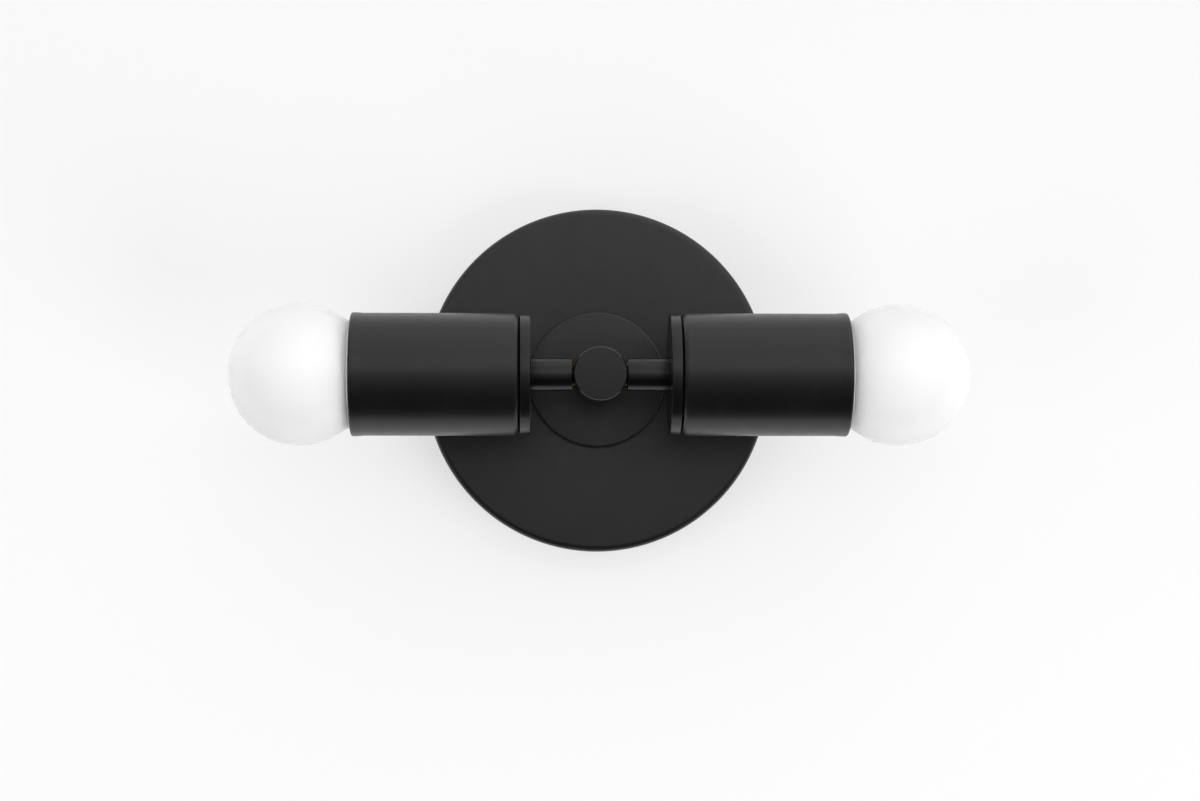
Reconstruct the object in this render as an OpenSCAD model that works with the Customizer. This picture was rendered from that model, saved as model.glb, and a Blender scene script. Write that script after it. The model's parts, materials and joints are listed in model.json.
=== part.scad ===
// Two-lamp wall light: a round canopy on a crossbar, a short stem, a cross-drilled centre body
// and two opposed cups, each with a lamp holder and a screw-in globe lamp.
// The wall is the plane y = 0, the light faces -Y, and the lamps lie along X.

/* [Canopy] */
// Outer diameter of the canopy
canopy_d = 127; // [120:1:150]
// Depth of the canopy from the wall to its front face
canopy_depth = 20; // [19:0.5:24]
// Sheet thickness of the canopy
canopy_wall = 1.2; // [0.8:0.1:1.6]
// Radius of the canopy's front edge
canopy_edge_r = 2.5; // [2:0.5:4]

/* [Crossbar] */
// Sheet thickness of the crossbar
bar_t = 1.6; // [1.2:0.1:2]
// Width of the crossbar
bar_w = 16; // [14:0.5:18]
// Room between each bent end of the crossbar and the canopy's wall
bar_room = 1.3; // [1:0.1:3]
// Length of each bent end, from the wall
bar_leg = 13; // [12:0.5:15]
// Distance between the centres of the two box slots
slot_spacing = 79.4; // [76:0.2:84]
// Length of a box slot, end to end
slot_l = 14.3; // [12:0.1:16]
// Width of a box slot
slot_w = 4.8; // [4.4:0.1:5.4]
// Place of the ground screw along the crossbar
ground_x = 22; // [20:0.5:24]

/* [Canopy screws] */
// Thread diameter of the canopy screws
side_screw_d = 4.1; // [3.8:0.1:4.4]
// Length of a canopy screw under its head
side_screw_l = 8; // [6:0.5:12]
// Head diameter of the canopy screws
side_head_d = 7.4; // [6.5:0.1:8]
// Head height of the canopy screws
side_head_h = 2.4; // [1.8:0.1:3]
// Distance of the canopy screws from the wall
side_screw_y = 8; // [7:0.5:8.5]

/* [Centre disc and stem] */
// Diameter of the centre disc
disc_d = 50; // [40:1:60]
// Thickness of the centre disc
disc_t = 3; // [2:0.5:5]
// Radius of the centre disc's front edge
disc_edge_r = 0.8; // [0.4:0.1:1.2]
// Diameter of the stem sleeve
stem_d = 12.7; // [12:0.1:16]
// Length of the stem sleeve
stem_l = 19.5; // [17:0.5:24]

/* [Centre body] */
// Diameter of the centre body
body_d = 19; // [18:0.1:20]
// Length of the centre body
body_l = 27; // [25:0.5:32]
// Distance from the lamp axis to the front face of the centre body
body_front = 10; // [9:0.5:12]
// Thickness of the centre body's closed front
body_face = 2.5; // [2:0.25:3.5]
// Radius of the centre body's front edge
body_edge_r = 0.6; // [0.4:0.1:1]
// Depth of thread between the centre body and the stem tube
stem_thread = 8; // [6:0.5:9]

/* [Threaded tube] */
// Outer diameter of the hollow threaded tubes
tube_d = 9.9; // [9.6:0.1:10.2]
// Bore of the hollow threaded tubes
tube_bore = 6.6; // [6.4:0.1:7]
// Width across the flats of the locknuts
nut_af = 14.3; // [13.5:0.1:15]
// Height of a locknut
nut_h = 3.2; // [2.6:0.1:3.6]
// Outer diameter of a toothed lock washer
washer_d = 14.6; // [13.5:0.1:15.5]
// Thickness of a toothed lock washer
washer_t = 0.8; // [0.6:0.1:1]
// Length of stem tube behind its locknut
tube_tail = 1.6; // [1:0.2:2]

/* [Arms] */
// Diameter of an arm sleeve
sleeve_d = 11.8; // [11.4:0.1:12.6]
// Length of an arm sleeve
sleeve_l = 14.8; // [13:0.1:20]
// Radius of an arm sleeve's end edges
sleeve_edge_r = 0.5; // [0.2:0.1:0.6]
// Diameter of a cup flange
flange_d = 42.9; // [36:0.1:43.4]
// Thickness of a cup flange
flange_t = 3.6; // [2.5:0.1:5]
// Chamfer on the edges of a cup flange
flange_chamfer = 0.4; // [0.2:0.1:0.8]

/* [Cups] */
// Outer diameter of a cup
cup_d = 43.4; // [42.4:0.1:46]
// Length of a cup
cup_l = 59.5; // [56:0.5:61]
// Wall thickness of a cup
cup_wall = 1; // [0.8:0.1:1.2]
// Radius of a cup's closed end
cup_corner_r = 2.5; // [2:0.1:3.5]
// Diameter of the rolled bead round a cup's mouth
cup_bead_d = 1.5; // [1.3:0.1:1.8]

/* [Lamp holders] */
// Diameter of a lamp holder
holder_d = 36; // [34:0.5:37]
// Length of a lamp holder's insulating body in front of its cap
holder_l = 31; // [30.5:0.5:32]
// Thickness of the holder cap's end
cap_t = 2.5; // [2:0.1:3]
// Wall of the holder cap's skirt
cap_wall = 1.6; // [1.2:0.1:2]
// Length of a holder cap
cap_l = 13; // [12.6:0.1:14]
// Diameter of the holder cap's tapped hub
hub_d = 14.6; // [13.5:0.1:15]
// Length of the holder cap's tapped hub
hub_l = 5.4; // [5:0.1:5.6]
// Wire space between the cap's back and the insulating body
wire_space = 9.6; // [9.5:0.1:10]
// Diameter of the well round the centre contact
well_d = 16; // [14:0.5:18]
// Depth of the well under the screw shell
well_depth = 6.3; // [6:0.1:6.8]
// Distance of the terminal screws from the holder's axis
terminal_r = 11; // [10.8:0.1:11.4]
// Diameter of a terminal screw's thread
terminal_d = 3.2; // [3:0.1:3.5]
// Head diameter of a terminal screw
terminal_head_d = 6.4; // [6:0.1:6.8]
// Head height of a terminal screw
terminal_head_h = 2; // [1.6:0.1:2.2]
// Length of a terminal screw's thread inside the insulating body
terminal_grip = 4; // [3:0.1:5]

/* [Lamp thread] */
// Pitch of the lamp thread
thread_pitch = 3.629; // [3.5:0.01:3.8]
// Mean diameter of the lamp base's thread
thread_d = 25.5; // [25.2:0.1:25.7]
// Height of the thread, crest to root
thread_h = 0.7; // [0.5:0.05:0.75]
// Radial clearance between the holder's thread and the lamp's thread
thread_gap = 0.35; // [0.3:0.05:0.4]
// Sheet thickness of both screw shells
shell_t = 0.35; // [0.3:0.05:0.4]
// Number of turns of thread in the holder
holder_turns = 5.5; // [5:0.25:5.5]
// Number of turns of thread on the lamp base
base_turns = 4.5; // [4:0.25:4.75]

/* [Lamps] */
// Diameter of the globe
globe_d = 50.4; // [48:0.2:54]
// Wall thickness of the globe
globe_wall = 1.2; // [0.8:0.1:1.6]
// Distance from the base's contact to the centre of the globe
globe_reach = 54.4; // [54:0.1:57]
// Radial room between the lamp's collar and the cup's mouth
collar_room = 1.7; // [1:0.1:2.5]
// Wall thickness of the collar
collar_wall = 1.2; // [1:0.1:1.5]
// Length of the straight part of the collar
collar_rim = 5.5; // [5:0.1:6]
// Diameter of the lamp's contact
eyelet_d = 9.6; // [8:0.1:11]
// Height of the lamp's contact
eyelet_h = 1.3; // [1:0.1:1.5]
// Distance from the lamp's contact to the foot of its screw shell
insulator_h = 6.3; // [6:0.1:6.6]
// Thickness of the lamp's LED board
led_board_t = 1.2; // [1:0.1:1.6]
// Number of LED chips on the board
led_count = 8; // [4:1:12]
// Distance of the LED chips from the lamp's axis
led_ring_r = 10.5; // [9:0.5:12]
// Edge length of an LED chip
led_size = 3; // [2:0.5:3.5]
// Width of the driver board
driver_w = 15; // [12:0.5:16]
// Thickness of the driver board
driver_t = 1.2; // [1:0.1:1.6]

/* [Wiring] */
// Diameter of an insulated lead
lead_d = 2; // [1.6:0.1:2.1]
// Diameter of the bare ground lead
ground_lead_d = 1.3; // [1:0.1:1.5]
// Diameter of a twist-on connector at its mouth
connector_d = 11.2; // [9.5:0.1:12]
// Length of a twist-on connector
connector_l = 24; // [20:0.5:28]

/* [Clearances] */
// Radial clearance of a screw or threaded tube in its tapped hole
thread_fit = 0.05; // [0.02:0.01:0.08]
// Radial clearance of a part that a screw or tube passes through
pass_fit = 0.25; // [0.15:0.05:0.35]
// Gap between curved surfaces that seat on each other
seat_gap = 0.3; // [0.2:0.05:0.4]
// Gap between the lamp's contact and the holder's contact
contact_gap = 0.3; // [0.2:0.05:0.5]

/* [Hidden] */
SIDES = [["left", -1], ["right", 1]];
SIDE_PARTS = [
    "arm_tube", "arm_sleeve", "cup_flange", "cup", "cup_locknut",
    "holder_cap", "holder_body", "screw_shell", "centre_contact", "terminal_screws",
    "black_lead", "white_lead",
    "lamp_globe", "lamp_collar", "lamp_screw_shell", "lamp_insulator", "lamp_contact",
    "led_board", "led_chips", "driver_board", "driver_leads"
];
CENTRE_PARTS = [
    "canopy", "crossbar", "canopy_screws", "ground_screw", "ground_lead",
    "stem_tube", "canopy_locknut", "lock_washers", "centre_disc", "stem_sleeve",
    "centre_body", "black_wire_connector", "white_wire_connector"
];

$fn = 64;
hex = 6;
past = 1;

// Distances from the wall
canopy_r = canopy_d / 2;
canopy_inside = canopy_depth - canopy_wall;
disc_front = canopy_depth + disc_t;
body_back = disc_front + stem_l;
body_end = body_back + body_l;
axis_y = body_end - body_front;
stem_end = body_back + stem_thread;
washer_end = canopy_inside - washer_t;
lug_t = 0.8;
lug_end = washer_end - lug_t;
nut_end = lug_end - nut_h;
stem_start = nut_end - tube_tail;
tube_r = tube_d / 2;
tapped_r = tube_r + thread_fit;
passing_r = tube_r + pass_fit;

// Distances outward from the centre body's axis, along a lamp's axis
sleeve_start = body_d / 2 + seat_gap;
flange_start = sleeve_start + sleeve_l;
cup_start = flange_start + flange_t;
cup_mouth = cup_start + cup_l;
cup_floor = cup_start + cup_wall;
nut_start = cup_floor + washer_t;
cap_start = nut_start + nut_h;
hub_end = cap_start + hub_l;
cap_end = cap_start + cap_l;
body_foot = cap_start + wire_space;
shoulder = cap_end + seat_gap / 2;
holder_front = shoulder + holder_l;
chamber_r = tapped_r;
arm_tube_start = chamber_r + seat_gap;

// Lamp holder, from its front backward
shell_r = thread_d / 2 + thread_gap;
shell_bore_r = shell_r + thread_h / 2 + shell_t + seat_gap;
shell_mouth = holder_front - 1.5;
shell_lip = 1;
shell_thread_start = shell_mouth - shell_lip - holder_turns * thread_pitch;
shell_foot = shell_thread_start - 0.6;
shell_floor = shell_foot - 0.2;
well_floor = shell_floor - well_depth;
contact_t = 0.5;
contact_foot = well_floor + 0.1;
contact_w = 5;
contact_top = well_floor + 3.4;
contact_reach = 5.5;
contact_bend = 5;
contact_pad = 2.2;

// Lamp, from its contact outward
tip = contact_top + contact_gap;
eyelet_back = tip + eyelet_h;
insulator_foot = eyelet_back + 0.1;
insulator_top = 2.4;
insulator_floor = 0.8;
wire_hole_r = 1;
base_foot = tip + insulator_h;
base_thread_start = base_foot + 0.6;
base_thread_end = base_thread_start + base_turns * thread_pitch;
base_r = thread_d / 2;
insulator_r = base_r - thread_h / 2 - shell_t - 0.65;
insulator_wall = 2.4;
skirt_r = 13.1;
skirt_end = base_thread_end + 5;
collar_r = cup_d / 2 - cup_wall - collar_room;
collar_inner_r = collar_r - collar_wall;
collar_edge = 0.1;
globe_r = globe_d / 2;
globe_u = tip + globe_reach;
function globe_at(r) = globe_u - sqrt(globe_r * globe_r - r * r);
collar_foot = holder_front + 0.7;
collar_foot_r = skirt_r + collar_wall + 0.1;
collar_lip = globe_at(collar_r - collar_edge) - seat_gap;
collar_seat = globe_at(collar_inner_r) - seat_gap;
collar_shoulder = collar_lip - collar_rim;
ledge_t = 1.2;
ledge_r = 14;
board_back = collar_shoulder + ledge_t;
board_r = collar_inner_r - seat_gap;
neck_start = board_back + led_board_t + 0.1;
neck_r = collar_inner_r - seat_gap;
neck_wall = 1.2;
neck_end = globe_at(neck_r);
led_h = 0.8;
driver_start = base_foot + 3;
driver_end = board_back - 0.2;
capacitor_d = 6.4;
capacitor_l = 11;
capacitor_up = 6;
coil = [5.4, 5.1, 7];
coil_up = 3;
chip = [8, 3, 6];
chip_up = 8;
solder = 0.1;

// Screws
side_screw_r = side_screw_d / 2;
leg_x = canopy_r - canopy_wall - bar_room;
bar_l = 2 * leg_x;
ground_screw_d = 4.7;
ground_head_af = 8;
ground_head_h = 3;
ground_lift = ground_lead_d + 0.15;
lug_d = 15;
barrel_d = 2.7;
barrel_l = 2.6;
barrel_x = nut_af / cos(30) / 2 + 0.34;
barrel_y = washer_end - barrel_d / 2 - thread_fit;
barrel_end_t = 0.6;
screw_slot = 0.9;

// Wiring
lead_r = lead_d / 2;
lead_lift = lead_d + 0.3;
connector_bore = 5.3;
connector_roof = 8;
connector_skirt = 4;
connector_y = 9;
connector_start = 14;
lead_sides = 8;
ground_sides = 6;
// The four leads are this route mirrored: x outward, y toward the wall is positive, z upward.
// It runs from a terminal screw, through the arm and the stem, into a connector in the canopy.
lead_pair = lead_r + 0.35;
lead_side = terminal_d / 2 + lead_r + 0.2;
lead_route = [
    [body_foot - 1.2, -axis_y - lead_side, terminal_r + 2],
    [body_foot - 1.2, -axis_y - lead_side + 0.1, terminal_r - 3.5],
    [body_foot - 1.5, -axis_y - 1.7, 4.7],
    [body_foot - 2.6, -axis_y - 0.6, 2.6],
    [hub_end, -axis_y - 0.1, 1.5],
    [hub_end - 2.6, -axis_y, lead_pair],
    [flange_start - 2.6, -axis_y, lead_pair],
    [arm_tube_start + 1.15, -axis_y, lead_pair],
    [4, -axis_y + 0.3, lead_pair],
    [2.3, -axis_y + 1.4, lead_pair],
    [1.5, -axis_y + 3.2, lead_pair],
    [lead_pair, -axis_y + 5.5, lead_pair],
    [lead_pair, -disc_front - 11, lead_pair],
    [lead_pair, -stem_start - 0.2, lead_pair],
    [lead_pair, -stem_start + 1.5, 2.3],
    [lead_pair, -connector_y - 0.6, 4.2],
    [lead_pair, -connector_y, 7],
    [lead_pair, -connector_y, connector_start + 12]
];
ground_route = [
    [9.6, -16.6, 0], [12, -16.6, 0], [13.8, -15.4, 0.4], [15, -12.8, 1.4],
    [16, -8, 2.6], [17, -4.2, 3.1], [18.6, -2.6, 3.15], [20.5, -2.3, 3.15], [25, -2.3, 3.15]
];

// Threads: rows of [mean radius, wave height, distance along the axis]
thread_columns = 24;
thread_steps = 6;

function thread_rows(r, turns, start) = [
    for (k = [0 : turns * thread_steps])
        [r, thread_h / 2, start + k * thread_pitch / thread_steps]
];

function reversed(rows) = [for (k = [len(rows) - 1 : -1 : 0]) rows[k]];

function shrunk(rows, t) = [for (row = rows) [row[0] - t, row[1], row[2]]];

function ring(row) = [
    for (i = [0 : thread_columns - 1])
        let (a = 360 * i / thread_columns)
        let (r = row[0] + row[1] * cos(360 * row[2] / thread_pitch - a))
        [r * cos(a), r * sin(a), row[2]]
];

// A closed shell of revolution whose rows carry a right-hand thread's wave
module thread_solid(rows) {
    n = thread_columns;
    m = len(rows);
    polyhedron(
        [for (row = rows) each ring(row)],
        [
            for (j = [0 : m - 1]) for (i = [0 : n - 1])
                let (up = (j + 1) % m, on = (i + 1) % n)
                each [
                    [j * n + i, up * n + i, up * n + on],
                    [j * n + i, up * n + on, j * n + on]
                ]
        ],
        convexity = 4
    );
}

// Leads: a round tube through a list of points
function unit(v) = v / norm(v);

function tangent(route, k) =
    k == 0 ? unit(route[1] - route[0])
    : k == len(route) - 1 ? unit(route[k] - route[k - 1])
    : unit(unit(route[k] - route[k - 1]) + unit(route[k + 1] - route[k]));

function carried(v, t) = unit(v - (v * t) * t);

function normals(route) = [
    for (k = 0, v = carried([0.3, 0.5, 0.8], tangent(route, 0));
        k < len(route);
        k = k + 1, v = k < len(route) ? carried(v, tangent(route, k)) : v)
        v
];

module swept_tube(route, r, sides) {
    v = normals(route);
    n = len(route);
    points = [
        for (k = [0 : n - 1])
            let (t = tangent(route, k), w = cross(t, v[k]))
            for (i = [0 : sides - 1])
                let (a = 360 * i / sides)
                route[k] + r * (cos(a) * v[k] + sin(a) * w)
    ];
    walls = [
        for (k = [0 : n - 2]) for (i = [0 : sides - 1])
            let (on = (i + 1) % sides)
            each [
                [k * sides + i, (k + 1) * sides + i, (k + 1) * sides + on],
                [k * sides + i, (k + 1) * sides + on, k * sides + on]
            ]
    ];
    first = [for (i = [1 : sides - 2]) [0, i, i + 1]];
    last = [for (i = [1 : sides - 2]) (n - 1) * sides * [1, 1, 1] + [0, i + 1, i]];
    polyhedron(points, concat(walls, first, last), convexity = 6);
}

// Placement: from_wall turns +Z into "away from the wall", at_side into "outward along the lamp"
module from_wall() {
    rotate([90, 0, 0]) children();
}

module at_side(side) {
    translate([0, -axis_y, 0]) rotate([0, 90 * side, 0]) children();
}

// Sections for turned parts, radius along X and height along Y
module round_section(r, h, corner) {
    square([r, h - corner]);
    square([r - corner, h]);
    translate([r - corner, h - corner]) circle(corner);
}

module ring_section(inner, outer, low, high) {
    translate([inner, low]) square([outer - inner, high - low]);
}

module threaded_tube(low, high) {
    color("goldenrod") rotate_extrude() ring_section(tube_bore / 2, tube_r, low, high);
}

module locknut(low) {
    color("silver") translate([0, 0, low]) difference() {
        cylinder(h = nut_h, d = nut_af / cos(30), $fn = hex);
        translate([0, 0, -past]) cylinder(h = nut_h + 2 * past, r = tapped_r);
    }
}

module lock_washer(low) {
    teeth = 12;
    notch = 1.2;
    translate([0, 0, low]) difference() {
        cylinder(h = washer_t, d = washer_d);
        translate([0, 0, -past]) cylinder(h = washer_t + 2 * past, r = tapped_r);
        for (k = [0 : teeth - 1])
            rotate([0, 0, 360 * k / teeth]) translate([washer_d / 2, 0, -past])
                cylinder(h = washer_t + 2 * past, d = notch);
    }
}

module slotted_head(d, h) {
    difference() {
        cylinder(h = h, d = d);
        translate([-d / 2 - past, -screw_slot / 2, h - screw_slot])
            cube([d + 2 * past, screw_slot, screw_slot + past]);
    }
}

// Canopy, crossbar and their fasteners
module canopy() {
    color("#2b2b2b") from_wall() difference() {
        rotate_extrude() difference() {
            round_section(canopy_r, canopy_depth, canopy_edge_r);
            translate([0, -past])
                round_section(canopy_r - canopy_wall, canopy_inside + past, canopy_edge_r - canopy_wall);
            square([passing_r, canopy_depth + past]);
        }
        for (s = [-1, 1])
            translate([s * (canopy_r - 2 * canopy_wall), 0, side_screw_y]) rotate([0, s * 90, 0])
                cylinder(h = 4 * canopy_wall, r = side_screw_r + pass_fit);
    }
}

module box_slot() {
    half = (slot_l - slot_w) / 2;
    translate([-half, -slot_w / 2, -past]) cube([2 * half, slot_w, bar_t + 2 * past]);
    for (s = [-1, 1]) translate([s * half, 0, -past]) cylinder(h = bar_t + 2 * past, d = slot_w);
}

module crossbar() {
    color("gainsboro") from_wall() difference() {
        union() {
            translate([-leg_x, -bar_w / 2, 0]) cube([bar_l, bar_w, bar_t]);
            for (s = [-1, 1])
                translate([s * leg_x - (s > 0 ? bar_t : 0), -bar_w / 2, 0]) cube([bar_t, bar_w, bar_leg]);
        }
        for (s = [-1, 1]) translate([s * slot_spacing / 2, 0, 0]) box_slot();
        translate([0, 0, -past]) cylinder(h = bar_t + 2 * past, r = tapped_r);
        translate([ground_x, 0, -past])
            cylinder(h = bar_t + 2 * past, d = ground_screw_d + 2 * thread_fit);
        for (s = [-1, 1])
            translate([s * (leg_x - 2 * bar_t), 0, side_screw_y]) rotate([0, s * 90, 0])
                cylinder(h = 4 * bar_t, r = side_screw_r + thread_fit);
    }
}

module canopy_screws() {
    color("#2b2b2b") from_wall() for (s = [-1, 1])
        translate([s * (canopy_r + thread_fit), 0, side_screw_y]) rotate([0, s * 90, 0]) {
            slotted_head(side_head_d, side_head_h);
            translate([0, 0, -side_screw_l]) cylinder(h = side_screw_l + thread_fit, r = side_screw_r);
        }
}

module ground_screw() {
    color("seagreen") from_wall() translate([ground_x, 0, 0]) {
        cylinder(h = bar_t + ground_lift + thread_fit, d = ground_screw_d);
        translate([0, 0, bar_t + ground_lift]) difference() {
            cylinder(h = ground_head_h, d = ground_head_af / cos(30), $fn = hex);
            translate([-ground_head_af, -screw_slot / 2, ground_head_h - screw_slot])
                cube([2 * ground_head_af, screw_slot, screw_slot + past]);
        }
    }
}

module ground_lead() {
    color("peru") {
        swept_tube(ground_route, ground_lead_d / 2, ground_sides);
        from_wall() difference() {
            union() {
                translate([0, 0, lug_end]) cylinder(h = lug_t, d = lug_d);
                translate([lug_d / 2 - past, -barrel_d / 2, lug_end])
                    cube([barrel_x + barrel_end_t / 2 - lug_d / 2 + past, barrel_d, lug_t]);
                translate([barrel_x, 0, barrel_y]) rotate([0, 90, 0])
                    cylinder(h = barrel_l, d = barrel_d);
            }
            translate([0, 0, lug_end - past]) cylinder(h = lug_t + 2 * past, r = tapped_r);
            translate([barrel_x + barrel_end_t, 0, barrel_y]) rotate([0, 90, 0])
                cylinder(h = barrel_l, d = ground_lead_d + 2 * thread_fit);
        }
    }
}

module stem_tube() {
    from_wall() threaded_tube(stem_start, stem_end);
}

module canopy_locknut() {
    from_wall() locknut(nut_end);
}

module lock_washers() {
    color("silver") {
        from_wall() lock_washer(washer_end);
        for (side = SIDES) at_side(side[1]) lock_washer(cup_floor);
    }
}

// Stem and centre body
module centre_disc() {
    color("#2b2b2b") from_wall() rotate_extrude() translate([0, canopy_depth]) difference() {
        round_section(disc_d / 2, disc_t, disc_edge_r);
        translate([0, -past]) square([passing_r, disc_t + 2 * past]);
    }
}

module stem_sleeve() {
    color("#2b2b2b") from_wall() rotate_extrude()
        ring_section(passing_r, stem_d / 2, disc_front, body_back);
}

module centre_body() {
    color("#2b2b2b") from_wall() difference() {
        rotate_extrude() translate([0, body_back]) difference() {
            round_section(body_d / 2, body_l, body_edge_r);
            translate([0, -past]) square([chamber_r, body_l - body_face + past]);
        }
        translate([-body_d, 0, axis_y]) rotate([0, 90, 0]) cylinder(h = 2 * body_d, r = tapped_r);
    }
}

// Arms and cups, outward along the lamp's axis
module arm_tube(side) {
    at_side(side) threaded_tube(arm_tube_start, hub_end);
}

module arm_sleeve(side) {
    color("#2b2b2b") at_side(side) rotate_extrude() difference() {
        union() {
            translate([0, sleeve_start + sleeve_l / 2])
                round_section(sleeve_d / 2, sleeve_l / 2, sleeve_edge_r);
            translate([0, sleeve_start + sleeve_l / 2]) mirror([0, 1])
                round_section(sleeve_d / 2, sleeve_l / 2, sleeve_edge_r);
        }
        square([passing_r, 2 * flange_start]);
    }
}

module cup_flange(side) {
    c = flange_chamfer;
    r = flange_d / 2;
    color("#2b2b2b") at_side(side) translate([0, 0, flange_start]) rotate_extrude() polygon([
        [passing_r, 0], [r - c, 0], [r, c], [r, flange_t - c], [r - c, flange_t], [passing_r, flange_t]
    ]);
}

module cup(side) {
    color("#2b2b2b") at_side(side) translate([0, 0, cup_mouth]) rotate_extrude() mirror([0, 1]) {
        difference() {
            round_section(cup_d / 2, cup_l, cup_corner_r);
            translate([0, -past])
                round_section(cup_d / 2 - cup_wall, cup_l - cup_wall + past, cup_corner_r - cup_wall);
            square([passing_r, cup_l + past]);
        }
        translate([(cup_d - cup_wall) / 2, cup_bead_d / 2]) circle(d = cup_bead_d);
    }
}

module cup_locknut(side) {
    at_side(side) locknut(nut_start);
}

// Lamp holder
module holder_cap(side) {
    r = holder_d / 2;
    color("#202020") at_side(side) translate([0, 0, cap_start]) rotate_extrude() {
        ring_section(tapped_r, hub_d / 2, 0, hub_l);
        ring_section(tapped_r, r, 0, cap_t);
        ring_section(r - cap_wall, r, 0, cap_l);
    }
}

module holder_body(side) {
    r = holder_d / 2;
    neck = r - cap_wall - seat_gap;
    color("ivory") at_side(side) difference() {
        rotate_extrude() difference() {
            union() {
                ring_section(0, neck, body_foot, shoulder + past);
                translate([0, shoulder]) round_section(r, holder_l, 1);
            }
            ring_section(0, shell_bore_r, shell_floor, holder_front + past);
            ring_section(0, well_d / 2, well_floor, holder_front);
        }
        for (s = [-1, 1]) translate([s * terminal_r, 0, body_foot - past])
            cylinder(h = terminal_grip + past + 0.2, r = terminal_d / 2 + thread_fit);
    }
}

module screw_shell(side) {
    rows = concat(
        [[8.6, 0, shell_foot], [shell_r, 0, shell_foot]],
        thread_rows(shell_r + shell_t, holder_turns, shell_thread_start),
        [
            [shell_r + 0.7, 0, shell_mouth - shell_lip / 2],
            [shell_r + 0.75, 0, shell_mouth],
            [shell_r + 0.4, 0, shell_mouth]
        ],
        reversed(thread_rows(shell_r, holder_turns, shell_thread_start)),
        [[shell_r - 0.6, 0, shell_foot + shell_t], [8.6, 0, shell_foot + shell_t]]
    );
    color("silver") at_side(side) thread_solid(rows);
}

module centre_contact(side) {
    t = contact_t;
    color("goldenrod") at_side(side) translate([0, contact_w / 2, 0]) rotate([90, 0, 0])
        linear_extrude(contact_w) polygon([
            [-contact_reach, contact_foot], [contact_bend - 0.6, contact_foot],
            [contact_bend, contact_foot + t], [contact_pad, contact_top],
            [-contact_pad, contact_top], [-contact_pad, contact_top - t],
            [contact_pad - 0.4, contact_top - t], [contact_bend - 1.1, contact_foot + t],
            [-contact_reach, contact_foot + t]
        ]);
}

module terminal_screws(side) {
    color("goldenrod") at_side(side) for (s = [-1, 1]) translate([s * terminal_r, 0, body_foot]) {
        translate([0, 0, -lead_lift]) mirror([0, 0, 1]) slotted_head(terminal_head_d, terminal_head_h);
        translate([0, 0, -lead_lift - thread_fit])
            cylinder(h = lead_lift + terminal_grip + thread_fit, d = terminal_d);
    }
}

module lead(side, up) {
    route = [for (p = lead_route) [side * p[0], p[1], up * p[2]]];
    if (side * up > 0) swept_tube(route, lead_r, lead_sides);
    else swept_tube(reversed(route), lead_r, lead_sides);
}

module black_lead(side) {
    color("#202020") lead(side, 1);
}

module white_lead(side) {
    color("white") lead(side, -1);
}

module wire_connector(up) {
    r = connector_d / 2;
    tip_r = 3.6;
    wing_w = 2;
    wing_l = 9;
    translate([0, -connector_y, up * connector_start]) mirror([0, 0, up > 0 ? 0 : 1]) difference() {
        union() {
            cylinder(h = connector_skirt, r = r);
            translate([0, 0, connector_skirt])
                cylinder(h = connector_l - connector_skirt, r1 = r - 0.5, r2 = tip_r);
            translate([-r - 1.6, -wing_w / 2, 1]) cube([2 * r + 3.2, wing_w, wing_l]);
        }
        translate([0, 0, -past]) cylinder(h = connector_l - connector_roof + past, d = connector_bore);
    }
}

module black_wire_connector() {
    color("gold") wire_connector(1);
}

module white_wire_connector() {
    color("gold") wire_connector(-1);
}

// Lamp: a lamp turns and slides outward as one piece, with its contact at the tip
module lamp_globe(side) {
    color("white") at_side(side) difference() {
        union() {
            difference() {
                translate([0, 0, globe_u]) sphere(globe_r);
                translate([0, 0, neck_end - globe_r]) cylinder(h = globe_r, r = globe_r);
            }
            translate([0, 0, neck_start]) cylinder(h = neck_end - neck_start + 0.4, r = neck_r);
        }
        translate([0, 0, globe_u]) sphere(globe_r - globe_wall);
        translate([0, 0, neck_start - past])
            cylinder(h = neck_end - neck_start + 4, r = neck_r - neck_wall);
    }
}

module lamp_collar(side) {
    foot = collar_foot;
    step = collar_shoulder;
    color("linen") at_side(side) rotate_extrude() {
        polygon([
            [skirt_r + 0.1, foot], [collar_foot_r, foot], [collar_r, step], [collar_r, collar_lip],
            [collar_r - collar_edge, collar_lip], [collar_inner_r, collar_seat],
            [collar_inner_r, step], [skirt_r + 0.1, foot + 1.6]
        ]);
        ring_section(ledge_r, collar_r - collar_wall / 2, step, board_back);
    }
}

module lamp_screw_shell(side) {
    rows = concat(
        [[11.75, 0, base_foot], [12.2, 0, base_foot]],
        thread_rows(base_r, base_turns, base_thread_start),
        [[skirt_r, 0, base_thread_end + 1.6], [skirt_r, 0, skirt_end], [skirt_r - shell_t, 0, skirt_end]],
        [[skirt_r - shell_t, 0, base_thread_end + 1.7]],
        reversed(shrunk(thread_rows(base_r, base_turns, base_thread_start), shell_t))
    );
    color("silver") at_side(side) thread_solid(rows);
}

module lamp_insulator(side) {
    color("#151515") at_side(side) rotate_extrude() polygon([
        [wire_hole_r, insulator_foot], [eyelet_d / 2 + 0.4, insulator_foot],
        [insulator_r, base_foot - 0.2], [insulator_r, base_foot + insulator_top],
        [insulator_r - insulator_wall, base_foot + insulator_top],
        [insulator_r - insulator_wall, base_foot + insulator_floor],
        [wire_hole_r, base_foot + insulator_floor]
    ]);
}

module lamp_contact(side) {
    color("silver") at_side(side) rotate_extrude() polygon([
        [0, tip], [eyelet_d / 2 - 2, tip], [eyelet_d / 2, eyelet_back - 0.4],
        [eyelet_d / 2, eyelet_back], [0, eyelet_back]
    ]);
}

module led_board(side) {
    color("whitesmoke") at_side(side) translate([0, 0, board_back]) difference() {
        cylinder(h = led_board_t, r = board_r);
        translate([0, 0, -past]) cylinder(h = led_board_t + 2 * past, d = 4);
    }
}

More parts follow.
